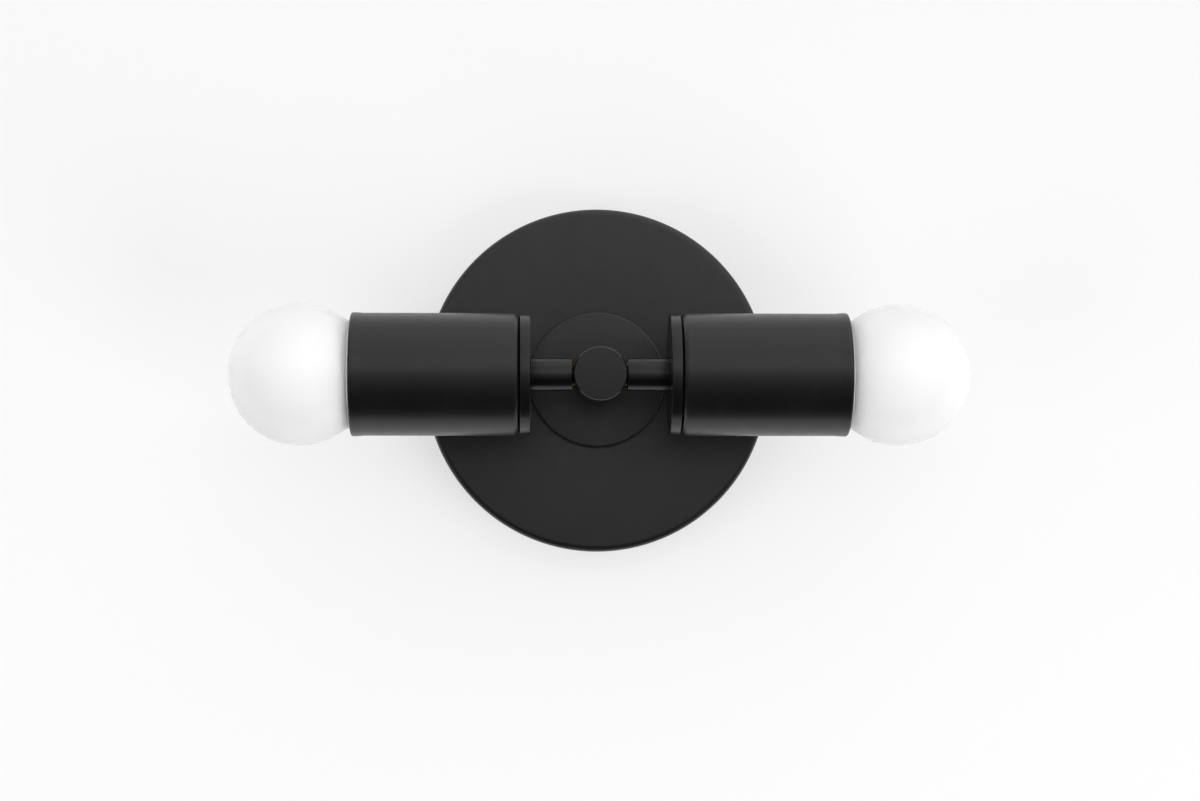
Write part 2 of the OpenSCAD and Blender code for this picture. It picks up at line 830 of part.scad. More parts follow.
module led_chips(side) {
    color("gold") at_side(side) for (k = [0 : led_count - 1])
        rotate([0, 0, 360 * k / led_count])
            translate([led_ring_r - led_size / 2, -led_size / 2, board_back + led_board_t])
                cube([led_size, led_size, led_h]);
}

module driver_board(side) {
    color("olivedrab") at_side(side) {
        translate([-driver_w / 2, -driver_t / 2, driver_start])
            cube([driver_w, driver_t, driver_end - driver_start]);
        translate([capacitor_d / 2 - 0.6, (driver_t + capacitor_d) / 2 - solder, driver_start + capacitor_up])
            cylinder(h = capacitor_l, d = capacitor_d);
        translate([-coil[0] - 0.6, driver_t / 2 - solder, driver_start + coil_up]) cube(coil);
        translate([-chip[0] / 2 - 2, solder - driver_t / 2 - chip[1], driver_start + chip_up]) cube(chip);
    }
}

module driver_leads(side) {
    wire = 0.8;
    color("firebrick") at_side(side) {
        translate([0, 0, insulator_foot]) cylinder(h = driver_start - 0.1 - insulator_foot, d = wire);
        translate([driver_w / 2 + 0.1, 0, driver_start + 1.5]) rotate([0, 90, 0])
            cylinder(h = base_r - thread_h / 2 - shell_t - 0.3 - driver_w / 2, d = wire);
    }
}

canopy();
crossbar();
canopy_screws();
ground_screw();
ground_lead();
stem_tube();
canopy_locknut();
lock_washers();
centre_disc();
stem_sleeve();
centre_body();
black_wire_connector();
white_wire_connector();

for (side = SIDES) {
    name = side[0];
    s = side[1];
    arm_tube(s);
    arm_sleeve(s);
    cup_flange(s);
    cup(s);
    cup_locknut(s);
    holder_cap(s);
    holder_body(s);
    screw_shell(s);
    centre_contact(s);
    terminal_screws(s);
    black_lead(s);
    white_lead(s);
    lamp_globe(s);
    lamp_collar(s);
    lamp_screw_shell(s);
    lamp_insulator(s);
    lamp_contact(s);
    led_board(s);
    led_chips(s);
    driver_board(s);
    driver_leads(s);
}
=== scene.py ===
import json
import math

import bmesh
import bpy
import numpy as np
from mathutils import Matrix, Vector


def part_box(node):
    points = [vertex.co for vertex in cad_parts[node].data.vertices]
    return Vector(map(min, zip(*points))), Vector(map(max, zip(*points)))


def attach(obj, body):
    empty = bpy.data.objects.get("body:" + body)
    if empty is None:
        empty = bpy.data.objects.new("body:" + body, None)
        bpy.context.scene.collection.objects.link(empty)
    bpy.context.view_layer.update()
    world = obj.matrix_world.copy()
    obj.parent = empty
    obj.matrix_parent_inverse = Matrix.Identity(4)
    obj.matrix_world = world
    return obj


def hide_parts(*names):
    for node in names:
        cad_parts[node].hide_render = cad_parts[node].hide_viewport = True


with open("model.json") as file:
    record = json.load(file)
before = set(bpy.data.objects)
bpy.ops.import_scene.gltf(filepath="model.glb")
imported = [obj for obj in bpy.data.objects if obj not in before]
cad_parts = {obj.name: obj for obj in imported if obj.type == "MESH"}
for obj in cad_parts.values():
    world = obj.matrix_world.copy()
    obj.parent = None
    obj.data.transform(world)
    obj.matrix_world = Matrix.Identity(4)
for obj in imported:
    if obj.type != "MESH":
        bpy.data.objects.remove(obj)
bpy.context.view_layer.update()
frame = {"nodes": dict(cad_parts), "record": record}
MM = 0.001
SIDES = {"left": -1, "right": 1}


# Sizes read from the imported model, in metres. A FRONT or BACK is a height above the wall.

def low(node, axis):
    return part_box(node)[0]["xyz".index(axis)]


def high(node, axis):
    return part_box(node)[1]["xyz".index(axis)]


def radius(node, axis="z"):
    return (high(node, axis) - low(node, axis)) / 2


LAMP_AXIS_Y = (low("right_cup", "y") + high("right_cup", "y")) / 2
CANOPY_R = radius("canopy")
CANOPY_FRONT = -low("canopy", "y")
DISC_R = radius("centre_disc")
DISC_FRONT = -low("centre_disc", "y")
BODY_R = radius("centre_body")
BODY_BACK = -high("centre_body", "y")
BODY_FRONT = -low("centre_body", "y")
TUBE_R = radius("stem_tube")
GLOBE_R = radius("right_lamp_globe", "y")


# Sizes that the boxes don't tell

TUBE_BORE_R = 3.3 * MM
PASS_R = TUBE_R + 0.25 * MM  # a hole that a tube passes through
FIT_R = TUBE_R + 0.05 * MM  # a hole that fits on a tube's thread
CANOPY_WALL = 1.2 * MM
EASE = 0.2 * MM  # the usual rounding of a small edge


# Camera, from a perspective fit of the photo's outlines

PHOTO_WIDTH = 1200
FOCAL_PIXELS = 2474.7
SENSOR_WIDTH = 36
CAMERA_PLACE = (-0.02415, -0.9337, -0.04311)
CAMERA_YAW = math.radians(-1.586)
CAMERA_PITCH = math.radians(2.222)


def make_camera():
    camera = bpy.data.objects.new("camera", bpy.data.cameras.new("camera"))
    bpy.context.collection.objects.link(camera)
    camera.location = CAMERA_PLACE
    level = math.cos(CAMERA_PITCH)
    forward = Vector((-math.sin(CAMERA_YAW) * level, math.cos(CAMERA_YAW) * level,
                      math.sin(CAMERA_PITCH)))
    camera.rotation_euler = forward.to_track_quat("-Z", "Y").to_euler()
    camera.data.sensor_width = SENSOR_WIDTH
    camera.data.lens = SENSOR_WIDTH * FOCAL_PIXELS / PHOTO_WIDTH
    camera.data.clip_start = 0.01
    camera.data.dof.use_dof = False
    bpy.context.scene.camera = camera


# Materials. Noise scales are per metre.

class Shader:
    """A Principled material with short calls for its nodes, in object coordinates."""

    def __init__(self, name, colour, roughness, metallic=0.0, **sockets):
        self.material = bpy.data.materials.new(name)
        self.material.use_nodes = True
        self.tree = self.material.node_tree
        self.bsdf = self.tree.nodes["Principled BSDF"]
        self.bsdf.inputs["Base Color"].default_value = (*colour, 1)
        self.bsdf.inputs["Roughness"].default_value = roughness
        self.bsdf.inputs["Metallic"].default_value = metallic
        for socket, value in sockets.items():
            self.bsdf.inputs[socket.replace("_", " ")].default_value = value
        self.coordinates = self.add("ShaderNodeTexCoord").outputs["Object"]

    def add(self, kind, **values):
        node = self.tree.nodes.new(kind)
        for key, value in values.items():
            setattr(node, key, value)
        return node

    def link(self, source, target):
        self.tree.links.new(source, target)

    def noise(self, scale, detail=4.0, stretch=(1, 1, 1)):
        mapping = self.add("ShaderNodeMapping")
        mapping.inputs["Scale"].default_value = stretch
        self.link(self.coordinates, mapping.inputs["Vector"])
        node = self.add("ShaderNodeTexNoise")
        node.inputs["Scale"].default_value = scale
        node.inputs["Detail"].default_value = detail
        self.link(mapping.outputs["Vector"], node.inputs["Vector"])
        return node.outputs["Fac"]

    def cells(self, scale):
        node = self.add("ShaderNodeTexVoronoi", feature="SMOOTH_F1")
        node.inputs["Scale"].default_value = scale
        self.link(self.coordinates, node.inputs["Vector"])
        return node.outputs["Distance"]

    def colour(self, factor, first, second):
        """Base colour that runs from first to second over the middle of a noise's range."""
        node = self.add("ShaderNodeValToRGB")
        stops = ((0.35, first), (0.65, second))
        for element, (place, colour) in zip(node.color_ramp.elements, stops):
            element.position = place
            element.color = (*colour, 1)
        self.link(factor, node.inputs["Fac"])
        self.link(node.outputs["Color"], self.bsdf.inputs["Base Color"])

    def rough(self, factor, start, end):
        """Roughness that runs from start to end over the middle of a noise's range."""
        node = self.add("ShaderNodeMapRange")
        set_inputs(node, {"From Min": 0.3, "From Max": 0.7, "To Min": start, "To Max": end})
        self.link(factor, node.inputs["Value"])
        self.link(node.outputs["Result"], self.bsdf.inputs["Roughness"])

    def bump(self, height, distance, strength=1.0, after=None):
        node = self.add("ShaderNodeBump")
        set_inputs(node, {"Strength": strength, "Distance": distance})
        self.link(height, node.inputs["Height"])
        if after:
            self.link(after, node.inputs["Normal"])
        self.link(node.outputs["Normal"], self.bsdf.inputs["Normal"])
        return node.outputs["Normal"]


def set_inputs(node, values):
    for socket, value in values.items():
        node.inputs[socket].default_value = value


def powder_coat(name, colour, rough, level):
    """Matte black powder coat: a faint orange peel with a finer grain and patches of sheen."""
    s = Shader(name, colour, rough, Specular_IOR_Level=level)
    s.colour(s.noise(70, 3), [0.88 * c for c in colour], [1.12 * c for c in colour])
    s.rough(s.noise(240, 4), rough - 0.03, rough + 0.04)
    peel = s.bump(s.cells(950), 0.02 * MM, 0.35)
    s.bump(s.noise(4200, 2), 0.006 * MM, 0.5, after=peel)
    return s.material


def metal(name, dark, light, rough, grain, stretch=(1, 1, 1), spots=None):
    """Bare or plated metal with fine scratches, which stretch can draw out, and spangle spots."""
    s = Shader(name, light, rough[0], metallic=1.0)
    s.colour(s.noise(160, 4), dark, light)
    s.rough(s.noise(grain * 0.3, 5, stretch), *rough)
    scratches = s.bump(s.noise(grain, 4, stretch), 0.008 * MM, 0.35)
    if spots:
        s.bump(s.cells(spots), 0.02 * MM, 0.3, after=scratches)
    return s.material


def moulded(name, dark, light, rough, grain=1800, **sockets):
    """Moulded plastic, enamel or glaze with a soft mottle and a fine surface grain."""
    s = Shader(name, light, rough[0], **sockets)
    s.colour(s.noise(110, 3), dark, light)
    s.rough(s.noise(420, 3), *rough)
    s.bump(s.noise(grain, 3), 0.01 * MM, 0.3)
    return s.material


def opal_globe():
    """Opal white plastic with a glossy skin that light sinks a little way into."""
    s = Shader("opal_globe", (0.94, 0.94, 0.935), 0.12, Subsurface_Weight=1.0,
               Subsurface_Scale=0.006, Subsurface_Radius=(1.0, 0.97, 0.94))
    s.colour(s.noise(45, 2), (0.935, 0.935, 0.93), (0.95, 0.95, 0.945))
    s.rough(s.noise(300, 3), 0.10, 0.15)
    s.bump(s.noise(90, 2), 0.03 * MM, 0.15)
    return s.material


def circuit_board(name, mask, track):
    """A board's solder mask with paler tracks under it."""
    s = Shader(name, mask, 0.3, Coat_Weight=0.4)
    tracks = s.add("ShaderNodeTexBrick")
    set_inputs(tracks, {"Scale": 260, "Color1": (*mask, 1), "Color2": (*mask, 1),
                        "Mortar": (*track, 1), "Mortar Size": 0.05})
    s.link(s.coordinates, tracks.inputs["Vector"])
    s.link(tracks.outputs["Color"], s.bsdf.inputs["Base Color"])
    s.rough(s.noise(300, 3), 0.25, 0.4)
    s.bump(tracks.outputs["Fac"], 0.03 * MM, 0.4)
    return s.material


def make_materials():
    """One material a slot, and three more for some of the pieces: black_fine, black_flat, and a
    brass darkened to paint the shade in the narrow gaps at the arms.
    """
    return {
        "black_metal": powder_coat("powder_coat_satin", (0.0048, 0.0048, 0.0049), 0.34, 0.5),
        "black_fine": powder_coat("powder_coat_fine", (0.0036, 0.0036, 0.0037), 0.26, 0.42),
        "black_flat": powder_coat("powder_coat_flat", (0.0062, 0.0062, 0.0063), 0.38, 0.56),
        "black_screw": metal("blackened_screw", (0.02, 0.02, 0.02), (0.035, 0.035, 0.035),
                             (0.35, 0.5), 900),
        "plated_steel": metal("zinc_plate", (0.5, 0.5, 0.48), (0.66, 0.66, 0.64),
                              (0.28, 0.45), 700, stretch=(6, 1, 1), spots=300),
        "green_screw": moulded("green_enamel", (0.02, 0.17, 0.06), (0.03, 0.22, 0.08),
                               (0.25, 0.4)),
        "copper": metal("bare_copper", (0.6, 0.27, 0.14), (0.8, 0.42, 0.26), (0.25, 0.4), 1500),
        "brass": metal("turned_brass", (0.62, 0.42, 0.13), (0.86, 0.64, 0.28),
                       (0.18, 0.34), 1600),
        # Brass darkened to paint the shade that falls in the narrow gap between the centre body and
        # each arm sleeve.
        "gap_shade_brass": metal("threaded_brass_painted_gap_shade", (0.07, 0.047, 0.018), (0.18, 0.125, 0.055),
                            (0.22, 0.4), 1600),
        "yellow_plastic": moulded("connector_yellow", (0.72, 0.42, 0.02), (0.8, 0.5, 0.04),
                                  (0.4, 0.55)),
        "phenolic": moulded("black_phenolic", (0.012, 0.011, 0.01), (0.02, 0.018, 0.016),
                            (0.3, 0.45)),
        "ceramic_white": moulded("glazed_ceramic", (0.76, 0.74, 0.68), (0.82, 0.8, 0.75),
                                 (0.1, 0.2), 300, Coat_Weight=0.5),
        "nickel_shell": metal("holder_shell", (0.6, 0.57, 0.5), (0.78, 0.75, 0.68),
                              (0.2, 0.35), 900),
        "black_insulation": moulded("lead_black", (0.012, 0.012, 0.012), (0.02, 0.02, 0.02),
                                    (0.3, 0.4)),
        "white_insulation": moulded("lead_white", (0.74, 0.74, 0.71), (0.8, 0.8, 0.77),
                                    (0.3, 0.4)),
        "opal": opal_globe(),
        "collar_plastic": moulded("collar_white", (0.91, 0.905, 0.885), (0.93, 0.925, 0.905),
                                  (0.35, 0.5), Subsurface_Weight=0.3, Subsurface_Scale=0.0008,
                                  Subsurface_Radius=(1, 0.96, 0.9)),
        "lamp_nickel": metal("lamp_shell", (0.62, 0.6, 0.56), (0.8, 0.78, 0.73),
                             (0.14, 0.3), 1100),
        "black_glass": moulded("insulator_glass", (0.008, 0.008, 0.01), (0.014, 0.014, 0.017),
                               (0.05, 0.12), 300),
        "solder": metal("solder_tip", (0.5, 0.5, 0.49), (0.7, 0.7, 0.68), (0.3, 0.5), 500,
                        spots=700),
        "board_white": circuit_board("led_board_white", (0.8, 0.8, 0.78), (0.62, 0.62, 0.6)),
        "led_yellow": moulded("led_phosphor", (0.75, 0.55, 0.06), (0.85, 0.66, 0.1),
                              (0.25, 0.4)),
        "board_green": circuit_board("driver_board_green", (0.02, 0.13, 0.05),
                                     (0.08, 0.3, 0.12)),
        "red_insulation": moulded("lead_red", (0.4, 0.02, 0.015), (0.5, 0.03, 0.02),
                                  (0.3, 0.4)),
    }


# Mesh building. A mesh is a (points, faces) pair, and a profile is a list of (radius, height)
# points along a turning axis.

def rounded(corners, closed=True, steps=5):
    """Corners as (radius, height, fillet); returns the outline with each fillet as an arc."""
    out = []
    count = len(corners)
    for i, (r, h, fillet) in enumerate(corners):
        corner = np.array((r, h))
        if not fillet or (not closed and i in (0, count - 1)):
            out.append(corner)
            continue
        back = np.array(corners[i - 1][:2]) - corner
        on = np.array(corners[(i + 1) % count][:2]) - corner
        back /= np.linalg.norm(back)
        on /= np.linalg.norm(on)
        half = math.acos(np.clip(back @ on, -1, 1)) / 2
        centre = corner + (back + on) / np.linalg.norm(back + on) * fillet / math.sin(half)
        start = corner + back * fillet / math.tan(half) - centre
        end = corner + on * fillet / math.tan(half) - centre
        first = math.atan2(start[1], start[0])
        turn = (math.atan2(end[1], end[0]) - first + math.pi) % (2 * math.pi) - math.pi
        for k in range(steps + 1):
            angle = first + turn * k / steps
            out.append(centre + fillet * np.array((math.cos(angle), math.sin(angle))))
    return out


def grid_faces(rows, columns, closed):
    """Quads that join rows of a ring grid, and the last row to the first if closed."""
    faces = []
    for j in range(rows if closed else rows - 1):
        a = j * columns
        b = (j + 1) % rows * columns
        for i in range(columns):
            n = (i + 1) % columns
            faces.append((a + i, a + n, b + n, b + i))
    return faces


def turned(profile, columns=160, closed=True, shape=None):
    """A solid of revolution. Ends on the axis close to a point; shape(r, h, angles) bends rings."""
    angles = np.linspace(0, 2 * math.pi, columns, endpoint=False)
    points = []
    for r, h in profile:
        ring_r, ring_h = np.full(columns, r), np.full(columns, h)
        if shape:
            ring_r, ring_h = shape(r, h, angles)
        points += list(zip(ring_r * np.cos(angles), ring_r * np.sin(angles), ring_h))
    return points, grid_faces(len(profile), columns, closed)


def box_mesh(low_corner, high_corner):
    (x0, y0, z0), (x1, y1, z1) = low_corner, high_corner
    points = [(x, y, z) for z in (z0, z1) for y in (y0, y1) for x in (x0, x1)]
    faces = [(0, 2, 3, 1), (4, 5, 7, 6), (0, 1, 5, 4), (2, 6, 7, 3), (0, 4, 6, 2), (1, 3, 7, 5)]
    return points, faces


# Places for meshes turned about z: standing on the wall, or along the lamps toward one side

WALL_PLACE = Matrix(((1, 0, 0, 0), (0, 0, -1, 0), (0, 1, 0, 0), (0, 0, 0, 1)))


def side_place(s, x=0.0, y=LAMP_AXIS_Y):
    return Matrix(((0, 0, s, s * x), (0, 1, 0, y), (-s, 0, 0, 0), (0, 0, 0, 1)))


def build(name, meshes, place, sharp=30):
    """One object from several meshes, placed by a matrix, with welded points."""
    points = []
    faces = []
    for some_points, some_faces in meshes:
        start = len(points)
        points += some_points
        faces += [tuple(start + i for i in face) for face in some_faces]
    mesh = bpy.data.meshes.new(name)
    mesh.from_pydata(points, [], faces)
    mesh.transform(place)
    obj = bpy.data.objects.new(name, mesh)
    bpy.context.collection.objects.link(obj)
    weld(mesh)
    smooth(mesh, sharp)
    return obj


def weld(mesh):
    """Merges points that coincide, drops the slivers that leaves and turns every face outward."""
    work = bmesh.new()
    work.from_mesh(mesh)
    bmesh.ops.remove_doubles(work, verts=work.verts, dist=1e-7)
    bmesh.ops.dissolve_degenerate(work, edges=work.edges, dist=1e-8)
    bmesh.ops.recalc_face_normals(work, faces=work.faces)
    work.to_mesh(mesh)
    work.free()


def smooth(mesh, sharp=30):
    """Smooth shading, except across edges that turn by more than sharp degrees."""
    for polygon in mesh.polygons:
        polygon.use_smooth = True
    mesh.set_sharp_from_angle(angle=math.radians(sharp))


def placed(mesh, place):
    points, faces = mesh
    return [tuple(place @ Vector(point)) for point in points], faces


def taken(obj):
    """An object's mesh as (points, faces); the object is removed."""
    mesh = obj.data
    pair = ([tuple(v.co) for v in mesh.vertices], [tuple(p.vertices) for p in mesh.polygons])
    bpy.data.objects.remove(obj)
    return pair


def joined(name, meshes):
    """One object from meshes that are already in place."""
    return build(name, meshes, Matrix.Identity(4))


def cut(obj, tool):
    """Subtracts tool from obj and applies the result."""
    modifier = obj.modifiers.new("cut", "BOOLEAN")
    modifier.operation = "DIFFERENCE"
    modifier.solver = "EXACT"
    modifier.object = tool
    apply_modifiers(obj)
    bpy.data.objects.remove(tool)


def bevelled(obj, width):
    modifier = obj.modifiers.new("bevel", "BEVEL")
    modifier.width = width
    modifier.segments = 3
    modifier.limit_method = "ANGLE"
    apply_modifiers(obj)


def apply_modifiers(obj):
    bpy.context.view_layer.update()
    depsgraph = bpy.context.evaluated_depsgraph_get()
    mesh = bpy.data.meshes.new_from_object(obj.evaluated_get(depsgraph))
    obj.modifiers.clear()
    obj.data = mesh
    smooth(mesh)


def dress(obj, node, material=None):
    """obj stands for a CAD node: it takes the node's slot, body and material."""
    slot = SLOT_OF[node]
    obj.data.materials.clear()
    obj.data.materials.append(material or MATERIALS[slot])
    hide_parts(node)
    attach(obj, BODY_OF[node])


# Threads

def fading(k, count, ends):
    return min(1.0, k / ends, (count - 1 - k) / ends)


def thread_rows(r, height, pitch, start, end, per_pitch, fade=0.5):
    """Rows (radius, wave, height) of an outside or inside thread that fades in and out."""
    count = max(4, round((end - start) / pitch * per_pitch)) + 1
    ends = max(1, fade * per_pitch)
    return [(r, height / 2 * fading(k, count, ends), start + (end - start) * k / (count - 1))
            for k in range(count)]


def round_wave(turn):
    return np.cos(2 * math.pi * turn)


def vee_wave(turn):
    return 1 - 4 * np.abs(turn - np.round(turn))


def threaded(rows, pitch, columns, wave):
    """A closed shell of rows (radius, wave height, height) with a right-hand thread."""
    angles = np.linspace(0, 2 * math.pi, columns, endpoint=False)
    points = []
    for r, height, h in rows:
        ring = r + height * wave(h / pitch - angles / (2 * math.pi))
        points += list(zip(ring * np.cos(angles), ring * np.sin(angles), np.full(columns, h)))
    return points, grid_faces(len(rows), columns, True)


def plain_rows(points):
    return [(r, 0.0, h) for r, h in points]


# Canopy side

def make_canopy():
    edge = 2.5 * MM
    rim = 0.25 * MM
    inner = CANOPY_R - CANOPY_WALL
    back = CANOPY_FRONT - CANOPY_WALL
    profile = rounded([
        (CANOPY_R, 0, rim), (CANOPY_R, CANOPY_FRONT, edge), (PASS_R, CANOPY_FRONT, EASE),
        (PASS_R, back, EASE), (inner, back, edge - CANOPY_WALL), (inner, 0, rim)
    ], steps=8)
    shell = build("canopy_shell", [turned(profile, 256)], WALL_PLACE)
    dress(shell, "canopy", MATERIALS["black_flat"])


def make_centre_disc():
    edge = 0.8 * MM
    seat = 0.15 * MM
    profile = rounded([
        (DISC_R, CANOPY_FRONT, seat), (DISC_R, DISC_FRONT, edge),
        (PASS_R, DISC_FRONT, EASE), (PASS_R, CANOPY_FRONT, EASE)
    ], steps=8)
    disc = build("centre_disc_turned", [turned(profile, 192)], WALL_PLACE)
    dress(disc, "centre_disc", MATERIALS["black_flat"])


def make_stem():
    r = radius("stem_sleeve")
    profile = rounded([(r, DISC_FRONT, EASE), (r, BODY_BACK, EASE), (PASS_R, BODY_BACK, 0),
                       (PASS_R, DISC_FRONT, 0)])
    sleeve = build("stem_sleeve_turned", [turned(profile)], WALL_PLACE)
    dress(sleeve, "stem_sleeve", MATERIALS["black_fine"])


def make_centre_body():
    """Turned body with a chamfered face, bored from the back and drilled across for the arms."""
    chamfer_width = 0.35 * MM
    chamfer_depth = 0.6 * MM
    back_edge = 0.4 * MM
    bore_end = BODY_FRONT - 2.5 * MM
    profile = rounded([
        (0, BODY_FRONT, 0), (BODY_R - chamfer_width, BODY_FRONT, 0.15 * MM),
        (BODY_R, BODY_FRONT - chamfer_depth, EASE), (BODY_R, BODY_BACK, back_edge),
        (FIT_R, BODY_BACK, EASE), (FIT_R, bore_end, EASE), (0, bore_end, 0)
    ], closed=False, steps=8)
    body = build("centre_body_drilled", [turned(profile, 192, closed=False)], WALL_PLACE)
    reach = 2 * BODY_R
    rod = turned([(0, -reach), (FIT_R, -reach), (FIT_R, reach), (0, reach)], 96, closed=False)
    cut(body, build("drill", [rod], side_place(1)))
    dress(body, "centre_body", MATERIALS["black_fine"])


def tube_mesh(start, end):
    """Hollow tube with a fine outside thread and a chamfered mouth at each end."""
    pitch = 0.94 * MM
    depth = 0.45 * MM
    lip = 0.4 * MM
    mouth = TUBE_BORE_R + 0.3 * MM
    middle = TUBE_R - depth / 2
    root = middle - depth / 2
    rows = plain_rows([(mouth, start), (root, start)])
    rows += thread_rows(middle, depth, pitch, start + lip, end - lip, 8)
    rows += plain_rows([(root, end), (mouth, end), (TUBE_BORE_R, end - lip),
                        (TUBE_BORE_R, start + lip)])
    return threaded(rows, pitch, 64, vee_wave)


def make_tubes():
    stem = tube_mesh(-high("stem_tube", "y"), -low("stem_tube", "y"))
    dress(build("stem_tube_threaded", [stem], WALL_PLACE), "stem_tube")
    arm = tube_mesh(low("right_arm_tube", "x"), high("right_arm_tube", "x"))
    for side, s in SIDES.items():
        tube = build(f"{side}_arm_tube_threaded", [arm], side_place(s))
        # The arm tubes take the darkened brass, which paints the shade in their gap at the centre
        # body.
        dress(tube, f"{side}_arm_tube", MATERIALS["gap_shade_brass"])


def hex_mesh(flats, height, start, bore=0.0):
    """Hexagon with chamfered corners, bored or solid."""
    core = flats * 0.485
    middle = start + height / 2
    end = start + height
    chamfer_slope = 0.58

    def to_hex(r, h, angles):
        heights = np.full(len(angles), h)
        if r <= core:
            return np.full(len(angles), r), heights
        reach = flats / 2 / np.cos(angles % (math.pi / 3) - math.pi / 6)
        drop = (reach - flats / 2) * chamfer_slope
        return reach, heights - math.copysign(1, h - middle) * drop

    profile = [(bore, start), (core, start), (flats, start), (flats, end), (core, end), (bore, end)]
    return turned(profile, 96, closed=bore > 0, shape=to_hex)


def make_nuts():
    node = "canopy_locknut"
    flats = 2 * min(radius(node, "z"), radius(node, "x"))
    start = -high(node, "y")
    height = -low(node, "y") - start
    dress(build("canopy_locknut_hex", [hex_mesh(flats, height, start, FIT_R)], WALL_PLACE), node)
    cup_nut = hex_mesh(flats, height, low("right_cup_locknut", "x"), FIT_R)
    for side, s in SIDES.items():
        nut = build(f"{side}_cup_locknut_hex", [cup_nut], side_place(s))
        dress(nut, f"{side}_cup_locknut")


def washer_mesh(start, thickness):
    """Toothed washer: teeth cut in its rim and twisted out of its plane."""
    teeth = 16
    tooth_above = -0.2  # where the cosine of a tooth's turn is above this, the rim stands out
    outer = 7.3 * MM
    root = 6.2 * MM
    gap_r = root + 0.05 * MM
    twist = 0.12 * MM
    end = start + thickness

    def toothed(r, h, angles):
        heights = np.full(len(angles), h)
        if r < root:
            return np.full(len(angles), r), heights
        tooth = np.cos(teeth * angles) > tooth_above
        heights = heights + twist * np.sin(teeth * angles) * tooth
        return np.where(tooth, outer, gap_r), np.clip(heights, start, end)

    inset = 0.15 * thickness
    plate_r = root * 0.99
    profile = [(FIT_R, start + inset), (plate_r, start + inset), (outer, start + inset),
               (outer, end - inset), (plate_r, end - inset), (FIT_R, end - inset)]
    return turned(profile, 256, shape=toothed)


def make_washers():
    thickness = 0.8 * MM
    canopy_side = CANOPY_FRONT - CANOPY_WALL - thickness
    cup_side = low("right_cup_locknut", "x") - thickness
    meshes = [placed(washer_mesh(canopy_side, thickness), WALL_PLACE)]
    meshes += [placed(washer_mesh(cup_side, thickness), side_place(s)) for s in SIDES.values()]
    dress(joined("lock_washers_toothed", meshes), "lock_washers")


# Screws

SCREW_PITCH = 0.8 * MM
SCREW_DEPTH = 0.35 * MM
OVERLAP = 0.02 * MM  # how far a shaft runs past its end plane
POINT_R = 1e-6  # a ring this small closes the end of a threaded shell


def screw_thread(rows):
    return threaded(rows, SCREW_PITCH, 48, vee_wave)


def round_screw(head_r, head_h, shaft_r, shaft_l):
    """Round-headed screw as (head, shaft): the head above height 0, the thread below."""
    crown_r = 0.75 * head_r
    dome = 0.35 * head_h
    profile = rounded([
        (0, head_h, 0), (crown_r, head_h, 0.5 * MM), (head_r, head_h - dome, 0.3 * MM),
        (head_r, 0, 0.15 * MM), (0, 0, 0)
    ], closed=False)
    middle = shaft_r - SCREW_DEPTH / 2
    rows = [(POINT_R, 0, -shaft_l), (shaft_r - SCREW_DEPTH, 0, -shaft_l)]
    rows += thread_rows(middle, SCREW_DEPTH, SCREW_PITCH, -shaft_l + 0.3 * MM, -0.1 * MM, 6)
    rows += [(middle, 0, OVERLAP), (POINT_R, 0, OVERLAP)]
    return turned(profile, 96, closed=False), screw_thread(rows)


def slot_tool(width, length, bottom, top):
    return box_mesh((-length, -width / 2, bottom), (length, width / 2, top))


def make_canopy_screws():
    head_h = 2.4 * MM
    shaft_r = 2 * MM
    shaft_l = 8 * MM
    slot_width = 0.9 * MM
    slot_floor = 0.55 * head_h
    node = "canopy_screws"
    head_r = radius(node)
    seat = high(node, "x") - head_h
    axis_y = (low(node, "y") + high(node, "y")) / 2
    meshes = []
    for s in SIDES.values():
        place = side_place(s, seat, axis_y)
        head, shaft = round_screw(head_r, head_h, shaft_r, shaft_l)
        piece = build("screw_head", [head], place)
        slot = slot_tool(slot_width, 2 * head_r, slot_floor, 2 * head_h)
        cut(piece, build("slot", [slot], place))
        meshes += [taken(piece), taken(build("screw_shaft", [shaft], place))]
    dress(joined("canopy_screws_slotted", meshes), node)


# Arms and cups

def make_arm(side, s):
    place = side_place(s)
    fine = MATERIALS["black_fine"]
    r = radius("right_arm_sleeve")
    start = low("right_arm_sleeve", "x")
    end = high("right_arm_sleeve", "x")
    sleeve = rounded([(r, start, EASE), (r, end, EASE), (PASS_R, end, 0),
                      (PASS_R, start, 0.1 * MM)])
    dress(build(f"{side}_arm_sleeve_turned", [turned(sleeve)], place), f"{side}_arm_sleeve", fine)
    edge = 0.22 * MM
    r = radius("right_cup_flange")
    back = low("right_cup_flange", "x")
    front = high("right_cup_flange", "x")
    flange = rounded([(r, back, edge), (r, front, edge), (PASS_R, front, 0), (PASS_R, back, 0)],
                     steps=6)
    piece = build(f"{side}_cup_flange_turned", [turned(flange, 192)], place)
    dress(piece, f"{side}_cup_flange", fine)


def make_cup(side, s):
    """Spun cup whose mouth flares a little and is rolled thicker inside."""
    wall = 1.0 * MM
    flare = 0.2 * MM
    roll = 0.2 * MM
    back = low("right_cup", "x")
    mouth = high("right_cup", "x")
    flare_start = mouth - 4.5 * MM
    flare_end = mouth - 1.6 * MM
    roll_end = mouth - 1.2 * MM
    roll_start = mouth - 1.7 * MM
    r = radius("right_cup") - 0.25 * MM
    inner = r - wall
    profile = rounded([
        (PASS_R, back, 0), (r, back, 2.5 * MM), (r, flare_start, 8 * MM),
        (r + flare, flare_end, 4 * MM), (r + flare, mouth, 0.8 * MM),
        (inner - roll, mouth, 0.4 * MM), (inner - roll, roll_end, 0.3 * MM),
        (inner, roll_start, 0.4 * MM), (inner, back + wall, 1.5 * MM), (PASS_R, back + wall, 0)
    ], steps=8)
    dress(build(f"{side}_cup_spun", [turned(profile, 256)], side_place(s)), f"{side}_cup")


# Lamp

